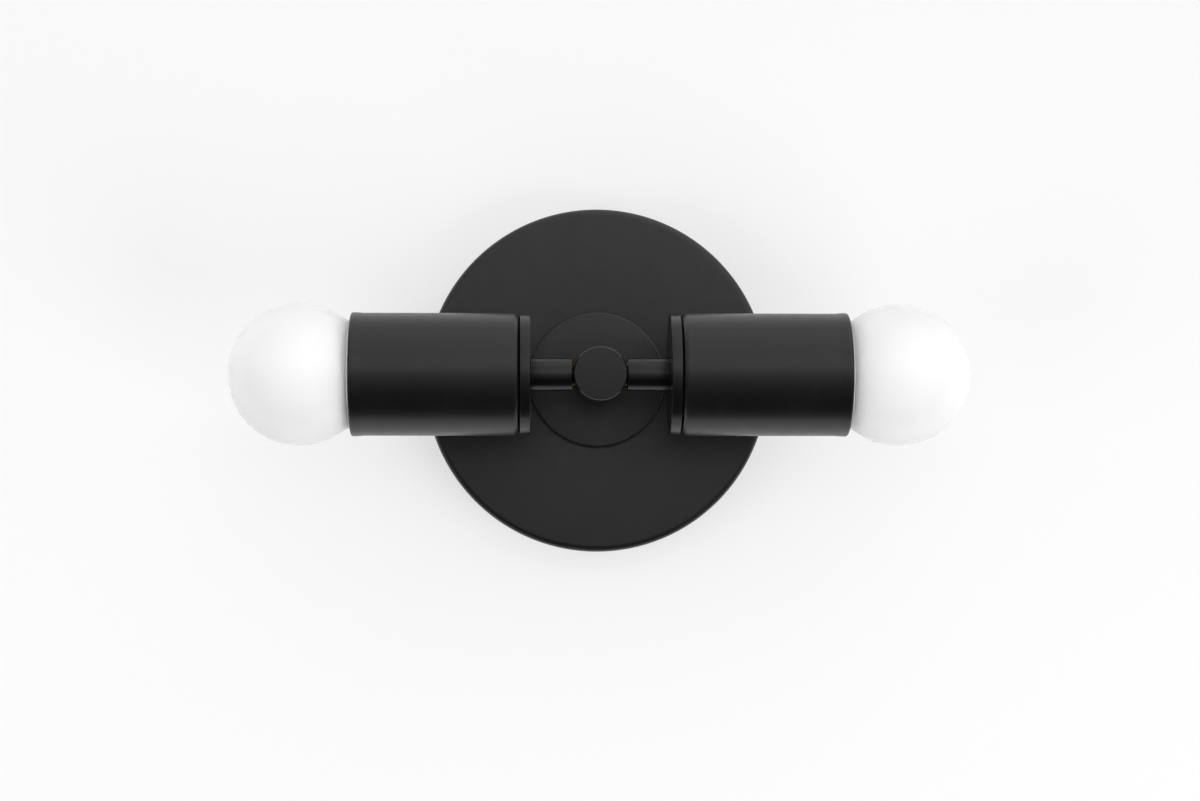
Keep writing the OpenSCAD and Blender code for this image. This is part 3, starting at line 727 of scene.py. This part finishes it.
GLOBE_CENTRE = high("right_lamp_globe", "x") - GLOBE_R
LAMP_PITCH = 3.629 * MM
LAMP_THREAD_R = 12.75 * MM
LAMP_THREAD_H = 0.7 * MM
SHELL_T = 0.35 * MM


def make_lamp(side, s):
    place = side_place(s)
    make_globe(side, place)
    make_collar(side, place)
    make_lamp_shell(side, place)
    make_insulator(side, place)
    make_contact(side, place)


def make_globe(side, place):
    """Globe filled above its LED chips, so that light spreads in it as in the real shell."""
    wall = 1.2 * MM
    foot = low("right_lamp_globe", "x")
    roof = high("right_led_chips", "x") + 0.8 * MM
    neck_r = radius("right_led_board")
    inner = neck_r - wall
    seam = radius("right_lamp_collar") + 0.05 * MM
    blend_r = seam + 1.5 * MM
    blend_end = high("right_lamp_collar", "x") - 0.6 * MM
    outer = sphere_arc(180 - math.degrees(math.asin(blend_r / GLOBE_R)), 96)
    outer += blend(outer[-1], seam, blend_end)
    neck = [(neck_r, outer[-1][1]), (neck_r, foot + EASE), (neck_r - EASE, foot),
            (inner + EASE, foot), (inner, foot + EASE), (inner, roof), (0, roof)]
    mesh = turned(outer + neck, 192, closed=False)
    dress(build(f"{side}_globe_opal", [mesh], place, 40), f"{side}_lamp_globe")


def sphere_arc(last, steps):
    """Points of the globe's outline from its far end to an angle in degrees from the axis."""
    angles = np.radians(np.linspace(0, last, steps))
    return [(GLOBE_R * math.sin(a), GLOBE_CENTRE + GLOBE_R * math.cos(a)) for a in angles]


def blend(last, seam, end):
    """Hollow curve from the sphere's last point, on its tangent, to the collar's outside."""
    r0, h0 = last
    corner = h0 - (r0 - seam) * r0 / (GLOBE_CENTRE - h0)
    steps = [k / 8 for k in range(1, 9)]
    return [((1 - t) ** 2 * r0 + (1 - (1 - t) ** 2) * seam,
             (1 - t) ** 2 * h0 + 2 * t * (1 - t) * corner + t * t * end) for t in steps]


def make_collar(side, place):
    """Moulded collar whose lip follows the sphere, a hair's breadth off it."""
    wall = 1.2 * MM
    land = 0.6 * MM
    bore = 13.2 * MM
    shelf_r = 14 * MM
    r = radius("right_lamp_collar")
    inner = r - wall
    foot = low("right_lamp_collar", "x")
    lip = high("right_lamp_collar", "x")
    step = lip - 5.5 * MM
    shelf = step + 1.2 * MM
    seat_r = GLOBE_R + 0.03 * MM
    seat = GLOBE_CENTRE - math.sqrt(seat_r ** 2 - r ** 2)
    seat_low = GLOBE_CENTRE - math.sqrt(seat_r ** 2 - (r - land) ** 2)
    profile = rounded([
        (bore, foot, EASE), (bore + wall, foot, 0.6 * MM), (r, step, 3 * MM),
        (r, seat - 0.02 * MM, 0), (r - land, seat_low, 0), (inner, lip - 1.25 * MM, EASE),
        (inner, shelf, 0), (shelf_r, shelf, EASE), (shelf_r, step, EASE),
        (inner - 0.5 * MM, step - 0.5 * MM, 0), (bore, foot + 1.6 * MM, 0.5 * MM)
    ])
    dress(build(f"{side}_collar_moulded", [turned(profile, 192)], place), f"{side}_lamp_collar")


def shell_thread(r, start, stop):
    return thread_rows(r, LAMP_THREAD_H, LAMP_PITCH, start, stop, 20, 0.25)


def make_lamp_shell(side, place):
    """Rolled screw shell, with a plain skirt at the collar and its foot turned in."""
    skirt = radius("right_lamp_screw_shell")
    foot = low("right_lamp_screw_shell", "x")
    end = high("right_lamp_screw_shell", "x")
    start = foot + 0.6 * MM
    stop = start + 4.5 * LAMP_PITCH
    thread = shell_thread(LAMP_THREAD_R, start, stop)
    rows = plain_rows([(11.75 * MM, foot), (12.1 * MM, foot), (12.3 * MM, foot + 0.2 * MM)])
    rows += thread
    rows += plain_rows([(skirt - 0.1 * MM, stop + 1.0 * MM), (skirt, stop + 1.6 * MM),
                        (skirt, end), (skirt - SHELL_T, end), (skirt - SHELL_T, stop + 1.7 * MM)])
    rows += [(r - SHELL_T, wave, h) for r, wave, h in reversed(thread)]
    mesh = threaded(rows, LAMP_PITCH, 96, round_wave)
    dress(build(f"{side}_lamp_shell_rolled", [mesh], place, 50), f"{side}_lamp_screw_shell")


def make_insulator(side, place):
    """Black glass foot: a cone between the contact and the shell, and a rim inside the shell."""
    hole = 1 * MM
    foot_r = 5.2 * MM
    cone_r = 7.4 * MM
    rim_r = 11.4 * MM
    rim_bore = 9 * MM
    foot = low("right_lamp_insulator", "x")
    top = high("right_lamp_insulator", "x")
    shell = low("right_lamp_screw_shell", "x")
    deck = shell + 0.8 * MM
    profile = rounded([
        (hole, foot, 0), (foot_r, foot, 0.5 * MM), (cone_r, foot + 2.1 * MM, 1.2 * MM),
        (rim_r, shell - 0.2 * MM, 0.6 * MM), (rim_r, top, 0.3 * MM), (rim_bore, top, 0.3 * MM),
        (rim_bore, deck, 0.3 * MM), (hole, deck, 0)
    ])
    dress(build(f"{side}_insulator_glass", [turned(profile)], place), f"{side}_lamp_insulator")


# The contact's soldered dome as (radius, height above its tip), in millimetres
SOLDER_DOME = [(0, 0), (1.0, 0.02), (1.9, 0.1), (2.6, 0.3), (3.0, 0.55), (3.6, 0.62)]


def make_contact(side, place):
    tip = low("right_lamp_contact", "x")
    back = high("right_lamp_contact", "x")
    r = radius("right_lamp_contact")
    profile = [(dome_r * MM, tip + rise * MM) for dome_r, rise in SOLDER_DOME]
    profile += [(r - 0.2 * MM, tip + 0.8 * MM), (r, tip + 1.0 * MM), (r, back - 0.1 * MM),
                (r - 0.1 * MM, back), (0, back)]
    mesh = turned(profile, 96, closed=False)
    dress(build(f"{side}_contact_soldered", [mesh], place), f"{side}_lamp_contact")


# Lamp holder

HOLDER_SKIRT = 1.6 * MM


def make_holder(side, s):
    place = side_place(s)
    make_holder_cap(side, place)
    make_holder_body(side, place)
    make_screw_shell(side, place)


def make_holder_cap(side, place):
    """Moulded cap with a hub that screws on the arm tube and a skirt that the body sits in."""
    hub_r = 7.3 * MM
    r = radius("right_holder_body")
    inner = r - HOLDER_SKIRT
    start = low("right_holder_cap", "x")
    end = high("right_holder_cap", "x")
    floor = start + 2.5 * MM
    hub_end = start + 5.4 * MM
    profile = rounded([
        (FIT_R, start, EASE), (r, start, 1.2 * MM), (r, end, 0.4 * MM), (inner, end, 0.3 * MM),
        (inner, floor, 0.8 * MM), (hub_r, floor, 0.5 * MM), (hub_r, hub_end, 0.3 * MM),
        (FIT_R, hub_end, EASE)
    ])
    dress(build(f"{side}_holder_cap_moulded", [turned(profile, 192)], place), f"{side}_holder_cap")


def make_holder_body(side, place):
    """Glazed body with a stepped foot in the cap, a groove round it and a well for the contact."""
    groove = 0.35 * MM
    well_r = 8 * MM
    r = radius("right_holder_body")
    neck = r - HOLDER_SKIRT - 0.3 * MM
    foot = low("right_holder_body", "x")
    front = high("right_holder_body", "x")
    shoulder = high("right_holder_cap", "x") + 0.15 * MM
    shell_foot = low("right_screw_shell", "x")
    shell_bore = radius("right_screw_shell") + 0.3 * MM
    floor = shell_foot - 0.2 * MM
    well = shell_foot - 6.5 * MM
    profile = rounded([
        (0, foot, 0), (neck, foot, 0.5 * MM), (neck, shoulder, 0), (r, shoulder, 0.5 * MM),
        (r, front - 6 * MM, 0), (r - groove, front - 5.6 * MM, 0),
        (r - groove, front - 5.2 * MM, 0), (r, front - 4.8 * MM, 0), (r, front, 1.2 * MM),
        (shell_bore, front, 0.6 * MM), (shell_bore, floor, 0.3 * MM), (well_r, floor, 0.5 * MM),
        (well_r, well, 0.8 * MM), (0, well, 0)
    ], closed=False)
    body = build(f"{side}_holder_body_glazed", [turned(profile, 192, closed=False)], place)
    dress(body, f"{side}_holder_body")


def make_screw_shell(side, place):
    """The holder's rolled shell, with its foot turned in and a curled mouth."""
    bore = 8.6 * MM
    r = LAMP_THREAD_R + 0.35 * MM
    foot = low("right_screw_shell", "x")
    mouth = high("right_screw_shell", "x")
    stop = mouth - 1 * MM
    start = stop - 5.5 * LAMP_PITCH
    inner = shell_thread(r, start, stop)
    rows = plain_rows([(bore, foot), (r - 0.2 * MM, foot), (r + 0.1 * MM, foot + 0.3 * MM)])
    rows += [(a + SHELL_T, wave, h) for a, wave, h in inner]
    rows += plain_rows([(r + 0.7 * MM, mouth - 0.5 * MM), (r + 0.75 * MM, mouth),
                        (r + 0.4 * MM, mouth)])
    rows += list(reversed(inner))
    rows += plain_rows([(r - 0.6 * MM, foot + SHELL_T), (bore, foot + SHELL_T)])
    mesh = threaded(rows, LAMP_PITCH, 96, round_wave)
    dress(build(f"{side}_screw_shell_rolled", [mesh], place, 50), f"{side}_screw_shell")


# Wiring. The routes are the model's own, in millimetres, and LEAD_ROUTE is mirrored for each
# of the four leads.

LEAD_ROUTE = [
    (41.6, -62.3, 13), (41.6, -62.2, 7.5), (41.3, -61.2, 4.7), (40.2, -60.1, 2.6),
    (38.6, -59.6, 1.5), (36, -59.5, 1.35), (22, -59.5, 1.35), (6.4, -59.5, 1.35),
    (4, -59.2, 1.35), (2.3, -58.1, 1.35), (1.5, -56.3, 1.35), (1.35, -54, 1.35),
    (1.35, -34, 1.35), (1.35, -12.6, 1.35), (1.35, -10.9, 2.3), (1.35, -9.6, 4.2),
    (1.35, -9, 7), (1.35, -9, 26)
]
LEAD_R = 1 * MM
GROUND_ROUTE = [
    (9.6, -16.6, 0), (12, -16.6, 0), (13.8, -15.4, 0.4), (15, -12.8, 1.4),
    (16, -8, 2.6), (17, -4.2, 3.1), (18.6, -2.6, 3.15), (20.5, -2.3, 3.15), (25, -2.3, 3.15)
]
GROUND_R = 0.65 * MM


def wire(name, route, r):
    """A round wire: a smooth curve through the route's points, in metres, as a mesh."""
    data = bpy.data.curves.new(name, "CURVE")
    data.dimensions = "3D"
    data.bevel_depth = r
    data.bevel_resolution = 5
    data.resolution_u = 10
    data.use_fill_caps = True
    spline = data.splines.new("BEZIER")
    spline.bezier_points.add(len(route) - 1)
    for point, place in zip(spline.bezier_points, route):
        point.co = place
        point.handle_left_type = "AUTO"
        point.handle_right_type = "AUTO"
    curve = bpy.data.objects.new(name, data)
    bpy.context.collection.objects.link(curve)
    bpy.context.view_layer.update()
    depsgraph = bpy.context.evaluated_depsgraph_get()
    mesh = bpy.data.meshes.new_from_object(curve.evaluated_get(depsgraph))
    bpy.data.objects.remove(curve)
    obj = bpy.data.objects.new(name, mesh)
    bpy.context.collection.objects.link(obj)
    smooth(mesh, 40)
    return obj


def make_leads():
    for side, s in SIDES.items():
        for colour, up in (("black", 1), ("white", -1)):
            route = [(s * x * MM, y * MM, up * z * MM) for x, y, z in LEAD_ROUTE]
            dress(wire(f"{side}_{colour}_lead_wire", route, LEAD_R), f"{side}_{colour}_lead")


def connector_mesh(r, length):
    """Twist-on connector, without its wings: a plain skirt under a ribbed body that tapers."""
    ribs = 24
    rib_depth = 0.22 * MM
    rib_start = 4.5 * MM
    rib_end = length - 2.5 * MM
    bore = 2.65 * MM
    socket_end = length - 8 * MM
    tip_r = 3.2 * MM

    def ribbed(ring_r, h, angles):
        along = np.clip((h - rib_start) / (rib_end - rib_start), 0, 1)
        depth = rib_depth * (1 - math.cos(2 * math.pi * along)) / 2
        outside = ring_r > tip_r and rib_start < h < rib_end
        groove = depth * (0.5 - 0.5 * np.cos(ribs * angles)) * outside
        return ring_r - groove, np.full(len(angles), h)

    socket = [(0, socket_end), (bore, socket_end)]
    skirt = rounded([(bore, 0, 0.3 * MM), (r, 0, 0.6 * MM), (r, 4 * MM, 0.3 * MM),
                     (r - 0.4 * MM, 4.2 * MM, 0)], closed=False)
    taper = [(r - 0.5 * MM - (r - 4.1 * MM) * t, 4.3 * MM + (length - 5 * MM) * t)
             for t in np.linspace(0, 1, 24)]
    tip = [(tip_r, length), (0, length)]
    return turned(socket + skirt + taper + tip, 192, closed=False, shape=ribbed)


def make_connectors():
    node = "black_wire_connector"
    start = low(node, "z")
    length = high(node, "z") - start
    middle = (low(node, "y") + high(node, "y")) / 2
    reach = radius(node, "x")
    root = 5 * MM
    half = 1 * MM
    wing_low = 1 * MM
    wing_high = 10 * MM
    for colour, up in (("black", 1), ("white", -1)):
        place = Matrix(((1, 0, 0, 0), (0, up, 0, middle), (0, 0, up, up * start), (0, 0, 0, 1)))
        wings = build("wings", [box_mesh((-reach, -half, wing_low), (-root, half, wing_high)),
                                box_mesh((root, -half, wing_low), (reach, half, wing_high))],
                      place)
        bevelled(wings, 0.5 * MM)
        shell = build("shell", [connector_mesh(radius(node, "y"), length)], place)
        obj = joined(f"{colour}_connector_winged", [taken(shell), taken(wings)])
        dress(obj, f"{colour}_wire_connector")


def make_ground_lead():
    """Bare wire in the crimped barrel of a ring lug that sits on the stem tube."""
    plate_t = 0.8 * MM
    ring_r = 7.5 * MM
    barrel_x = 8.6 * MM
    barrel_l = 2.6 * MM
    barrel_r = 1.35 * MM
    barrel_bore = 0.7 * MM
    edge = 0.1 * MM
    front = -low("ground_lead", "y")
    back = front - plate_t
    route = [tuple(c * MM for c in p) for p in GROUND_ROUTE]
    ring = rounded([(FIT_R, back, edge), (ring_r, back, EASE), (ring_r, front, EASE),
                    (FIT_R, front, edge)])
    barrel = rounded([(barrel_bore, 0, edge), (barrel_r, 0, 0.3 * MM), (barrel_r, barrel_l, EASE),
                      (barrel_bore, barrel_l, edge)])
    neck = box_mesh((ring_r - 1 * MM, -barrel_r, back), (barrel_x + 0.3 * MM, barrel_r, front))
    meshes = [taken(wire("ground_wire", route, GROUND_R)), placed(turned(ring, 96), WALL_PLACE),
              placed(neck, WALL_PLACE),
              placed(turned(barrel, 64), side_place(1, barrel_x, route[0][1]))]
    dress(joined("ground_lead_lugged", meshes), "ground_lead")


def make_ground_screw():
    flats = 8 * MM
    head_h = 3 * MM
    slot_width = 1.1 * MM
    slot_depth = 1.2 * MM
    root_r = 2 * MM
    thread_r = 2.15 * MM
    neck_r = 2.1 * MM
    node = "ground_screw"
    top = -low(node, "y")
    place = WALL_PLACE @ Matrix.Translation(((low(node, "x") + high(node, "x")) / 2, 0, 0))
    head = build("ground_head", [hex_mesh(flats, head_h, top - head_h)], place)
    slot = slot_tool(slot_width, 10 * MM, top - slot_depth, top + 1 * MM)
    cut(head, build("slot", [slot], place))
    neck = top - 2.9 * MM
    rows = [(POINT_R, 0, OVERLAP), (root_r, 0, OVERLAP)]
    rows += thread_rows(thread_r, SCREW_DEPTH, SCREW_PITCH, 0.3 * MM, top - 3.1 * MM, 6)
    rows += [(neck_r, 0, neck), (POINT_R, 0, neck)]
    dress(joined("ground_screw_hex", [taken(head), placed(screw_thread(rows), place)]), node)


def make_crossbar():
    """Bent steel bar: its CAD shape with a round bend at each end and eased edges."""
    bend_r = 1.5 * MM
    bend_x = high("crossbar", "x")
    near = 1e-5
    mesh = frame["nodes"]["crossbar"].data.copy()
    work = bmesh.new()
    work.from_mesh(mesh)
    bmesh.ops.remove_doubles(work, verts=work.verts, dist=1e-6)
    bmesh.ops.dissolve_limit(work, angle_limit=0.01, verts=work.verts, edges=work.edges)
    bends = [e for e in work.edges
             if all(abs(abs(v.co.x) - bend_x) < near and abs(v.co.y) < near for v in e.verts)]
    bmesh.ops.bevel(work, geom=bends, offset=bend_r, segments=6, profile=0.5, affect="EDGES")
    work.to_mesh(mesh)
    work.free()
    bar = bpy.data.objects.new("crossbar_bent", mesh)
    bpy.context.collection.objects.link(bar)
    bevelled(bar, 0.25 * MM)
    dress(bar, "crossbar")


def finish_cad_nodes():
    """Every CAD node gets its slot's material. Those that aren't replaced keep their shape."""
    for node, obj in frame["nodes"].items():
        if node in SLOT_OF:
            obj.data.materials.clear()
            obj.data.materials.append(MATERIALS[SLOT_OF[node]])


# Stage and light

def make_stage():
    """A white wall with a hole behind the canopy, and a floor that neither lights nor shades."""
    hole_r = 55 * MM
    reach = 3.0
    back = 0.0004
    floor_z = -1.1
    angles = [math.radians(a) for a in range(0, 360, 5)]
    hole = [(hole_r * math.cos(a), back, hole_r * math.sin(a)) for a in angles]
    rim = [(reach * math.cos(a), back, reach * math.sin(a)) for a in angles]
    count = len(angles)
    ring = [(count + i, count + (i + 1) % count, (i + 1) % count, i) for i in range(count)]
    wall_white = stage_material("wall_white", (0.88, 0.88, 0.88), 0.58)
    wall = plain_object("stage_wall", hole + rim, ring, wall_white)
    corners = [(-reach, -reach, floor_z), (reach, -reach, floor_z), (reach, back, floor_z),
               (-reach, back, floor_z)]
    floor_white = stage_material("floor_white", (0.82, 0.82, 0.82), 0.3)
    floor = plain_object("stage_floor", corners, [(0, 1, 2, 3)], floor_white)
    floor.visible_glossy = False
    floor.visible_diffuse = False
    floor.visible_shadow = False


def plain_object(name, points, faces, material):
    mesh = bpy.data.meshes.new(name)
    mesh.from_pydata(points, [], faces)
    obj = bpy.data.objects.new(name, mesh)
    bpy.context.collection.objects.link(obj)
    mesh.materials.append(material)
    return obj


def stage_material(name, colour, glow):
    """White paint that keeps shadows, with a share of plain white (glow) for the camera and for
    shine and glass; seen from behind it is clear."""
    material = bpy.data.materials.new(name)
    material.use_nodes = True
    tree = material.node_tree
    bsdf = tree.nodes["Principled BSDF"]
    set_inputs(bsdf, {"Base Color": (*colour, 1), "Roughness": 0.9, "Specular IOR Level": 0.0})
    emission = tree.nodes.new("ShaderNodeEmission")
    emission.inputs["Strength"].default_value = 1.0
    path = tree.nodes.new("ShaderNodeLightPath").outputs
    seen = math_node(tree, "MAXIMUM", path["Is Camera Ray"], path["Is Glossy Ray"])
    seen = math_node(tree, "MAXIMUM", seen, path["Is Transmission Ray"])
    share = math_node(tree, "MULTIPLY", seen, glow)
    front = mixed(tree, share, bsdf.outputs[0], emission.outputs[0])
    geometry = tree.nodes.new("ShaderNodeNewGeometry")
    clear = tree.nodes.new("ShaderNodeBsdfTransparent")
    both = mixed(tree, geometry.outputs["Backfacing"], front, clear.outputs[0])
    tree.links.new(both, tree.nodes["Material Output"].inputs["Surface"])
    return material


def mixed(tree, factor, first, second):
    node = tree.nodes.new("ShaderNodeMixShader")
    for socket, source in zip(node.inputs, (factor, first, second)):
        tree.links.new(source, socket)
    return node.outputs[0]


def math_node(tree, operation, first, second):
    """A Math node's result. second is a socket or a number."""
    node = tree.nodes.new("ShaderNodeMath")
    node.operation = operation
    tree.links.new(first, node.inputs[0])
    if isinstance(second, float):
        node.inputs[1].default_value = second
    else:
        tree.links.new(second, node.inputs[1])
    return node.outputs[0]


# The room's brightness as (direction, brightness) stops: left to right, and below to above
ROOM_ACROSS = [(-0.9, 0.7), (-0.6, 0.6), (-0.3, 0.9), (0, 1.1), (0.3, 1.35), (0.6, 1.1),
               (0.9, 1.0)]
ROOM_RISE = [(-0.65, 0), (-0.35, 0.2), (-0.12, 0.3), (0, 0.44), (0.12, 0.94), (0.35, 1),
             (0.65, 0.8), (0.9, 0.95)]
GLOSSY_WHITE = 0.03  # the least brightness that shine shows


def make_world():
    """A room that is brightest above and to the right; the camera sees it as plain white."""
    world = bpy.data.worlds.new("room")
    world.use_nodes = True
    tree = world.node_tree
    background = tree.nodes["Background"]
    background.inputs["Color"].default_value = (1, 1, 1, 1)
    coordinates = tree.nodes.new("ShaderNodeTexCoord")
    split = tree.nodes.new("ShaderNodeSeparateXYZ")
    tree.links.new(coordinates.outputs["Generated"], split.inputs[0])
    across = world_ramp(tree, split.outputs["X"], ROOM_ACROSS)
    rise = world_ramp(tree, split.outputs["Z"], ROOM_RISE)
    light = math_node(tree, "MULTIPLY", across, rise)
    path = tree.nodes.new("ShaderNodeLightPath").outputs
    seen = math_node(tree, "MAXIMUM", path["Is Camera Ray"], path["Is Transmission Ray"])
    shine = math_node(tree, "MULTIPLY", path["Is Glossy Ray"], GLOSSY_WHITE)
    seen = math_node(tree, "MAXIMUM", seen, shine)
    strength = math_node(tree, "MAXIMUM", light, seen)
    tree.links.new(strength, background.inputs["Strength"])
    bpy.context.scene.world = world


def world_ramp(tree, value, stops):
    """Brightness by direction: straight lines between (value, brightness) stops."""
    total = None
    for (start, first), (end, last) in zip(stops, stops[1:]):
        base, top = (first, last) if total is None else (0, last - first)
        node = tree.nodes.new("ShaderNodeMapRange")
        set_inputs(node, {"From Min": start, "From Max": end, "To Min": base, "To Max": top})
        tree.links.new(value, node.inputs["Value"])
        step = node.outputs["Result"]
        total = step if total is None else math_node(tree, "ADD", total, step)
    return total


# Fill lamps as place, size and watts. They light the surfaces but don't show in the black coat.
FILLS = {
    "fill_left_low": ((-1.1, -0.9, -0.5), (0.9, 0.9), 6.5),
    "fill_right_low": ((0.9, -0.9, -0.7), (0.9, 0.9), 10.5),
    "fill_front": ((0, -1.5, 0.15), (0.9, 0.9), 1.5),
    "fill_left": ((-1, -1, 0.5), (0.9, 0.9), 1),
    "fill_top": ((0, -0.9, 1.1), (1.6, 0.8), 0.5),
}
FILL_TARGET = (0, -0.05, 0)


def make_fills():
    for name, (place, size, power) in FILLS.items():
        data = bpy.data.lights.new(name, "AREA")
        data.shape = "RECTANGLE"
        data.size, data.size_y = size
        data.energy = power
        light = bpy.data.objects.new(name, data)
        light.location = place
        aim = Vector(FILL_TARGET) - Vector(place)
        light.rotation_euler = aim.to_track_quat("-Z", "Y").to_euler()
        light.visible_glossy = False
        bpy.context.collection.objects.link(light)


make_camera()
bpy.context.scene.view_settings.view_transform = "Standard"
SLOT_OF = {part["node"]: part["material_slot"] for part in frame["record"]["subparts"]}
BODY_OF = {node: body for body, nodes in frame["record"]["behaviour"]["bodies"].items()
           for node in nodes}
MATERIALS = make_materials()
finish_cad_nodes()
make_canopy()
make_centre_disc()
make_stem()
make_centre_body()
make_tubes()
make_nuts()
make_washers()
make_canopy_screws()
make_crossbar()
make_leads()
make_connectors()
make_ground_lead()
make_ground_screw()
for side_name, side_sign in SIDES.items():
    make_arm(side_name, side_sign)
    make_cup(side_name, side_sign)
    make_holder(side_name, side_sign)
    make_lamp(side_name, side_sign)
make_stage()
make_world()
make_fills()
bpy.context.view_layer.update()
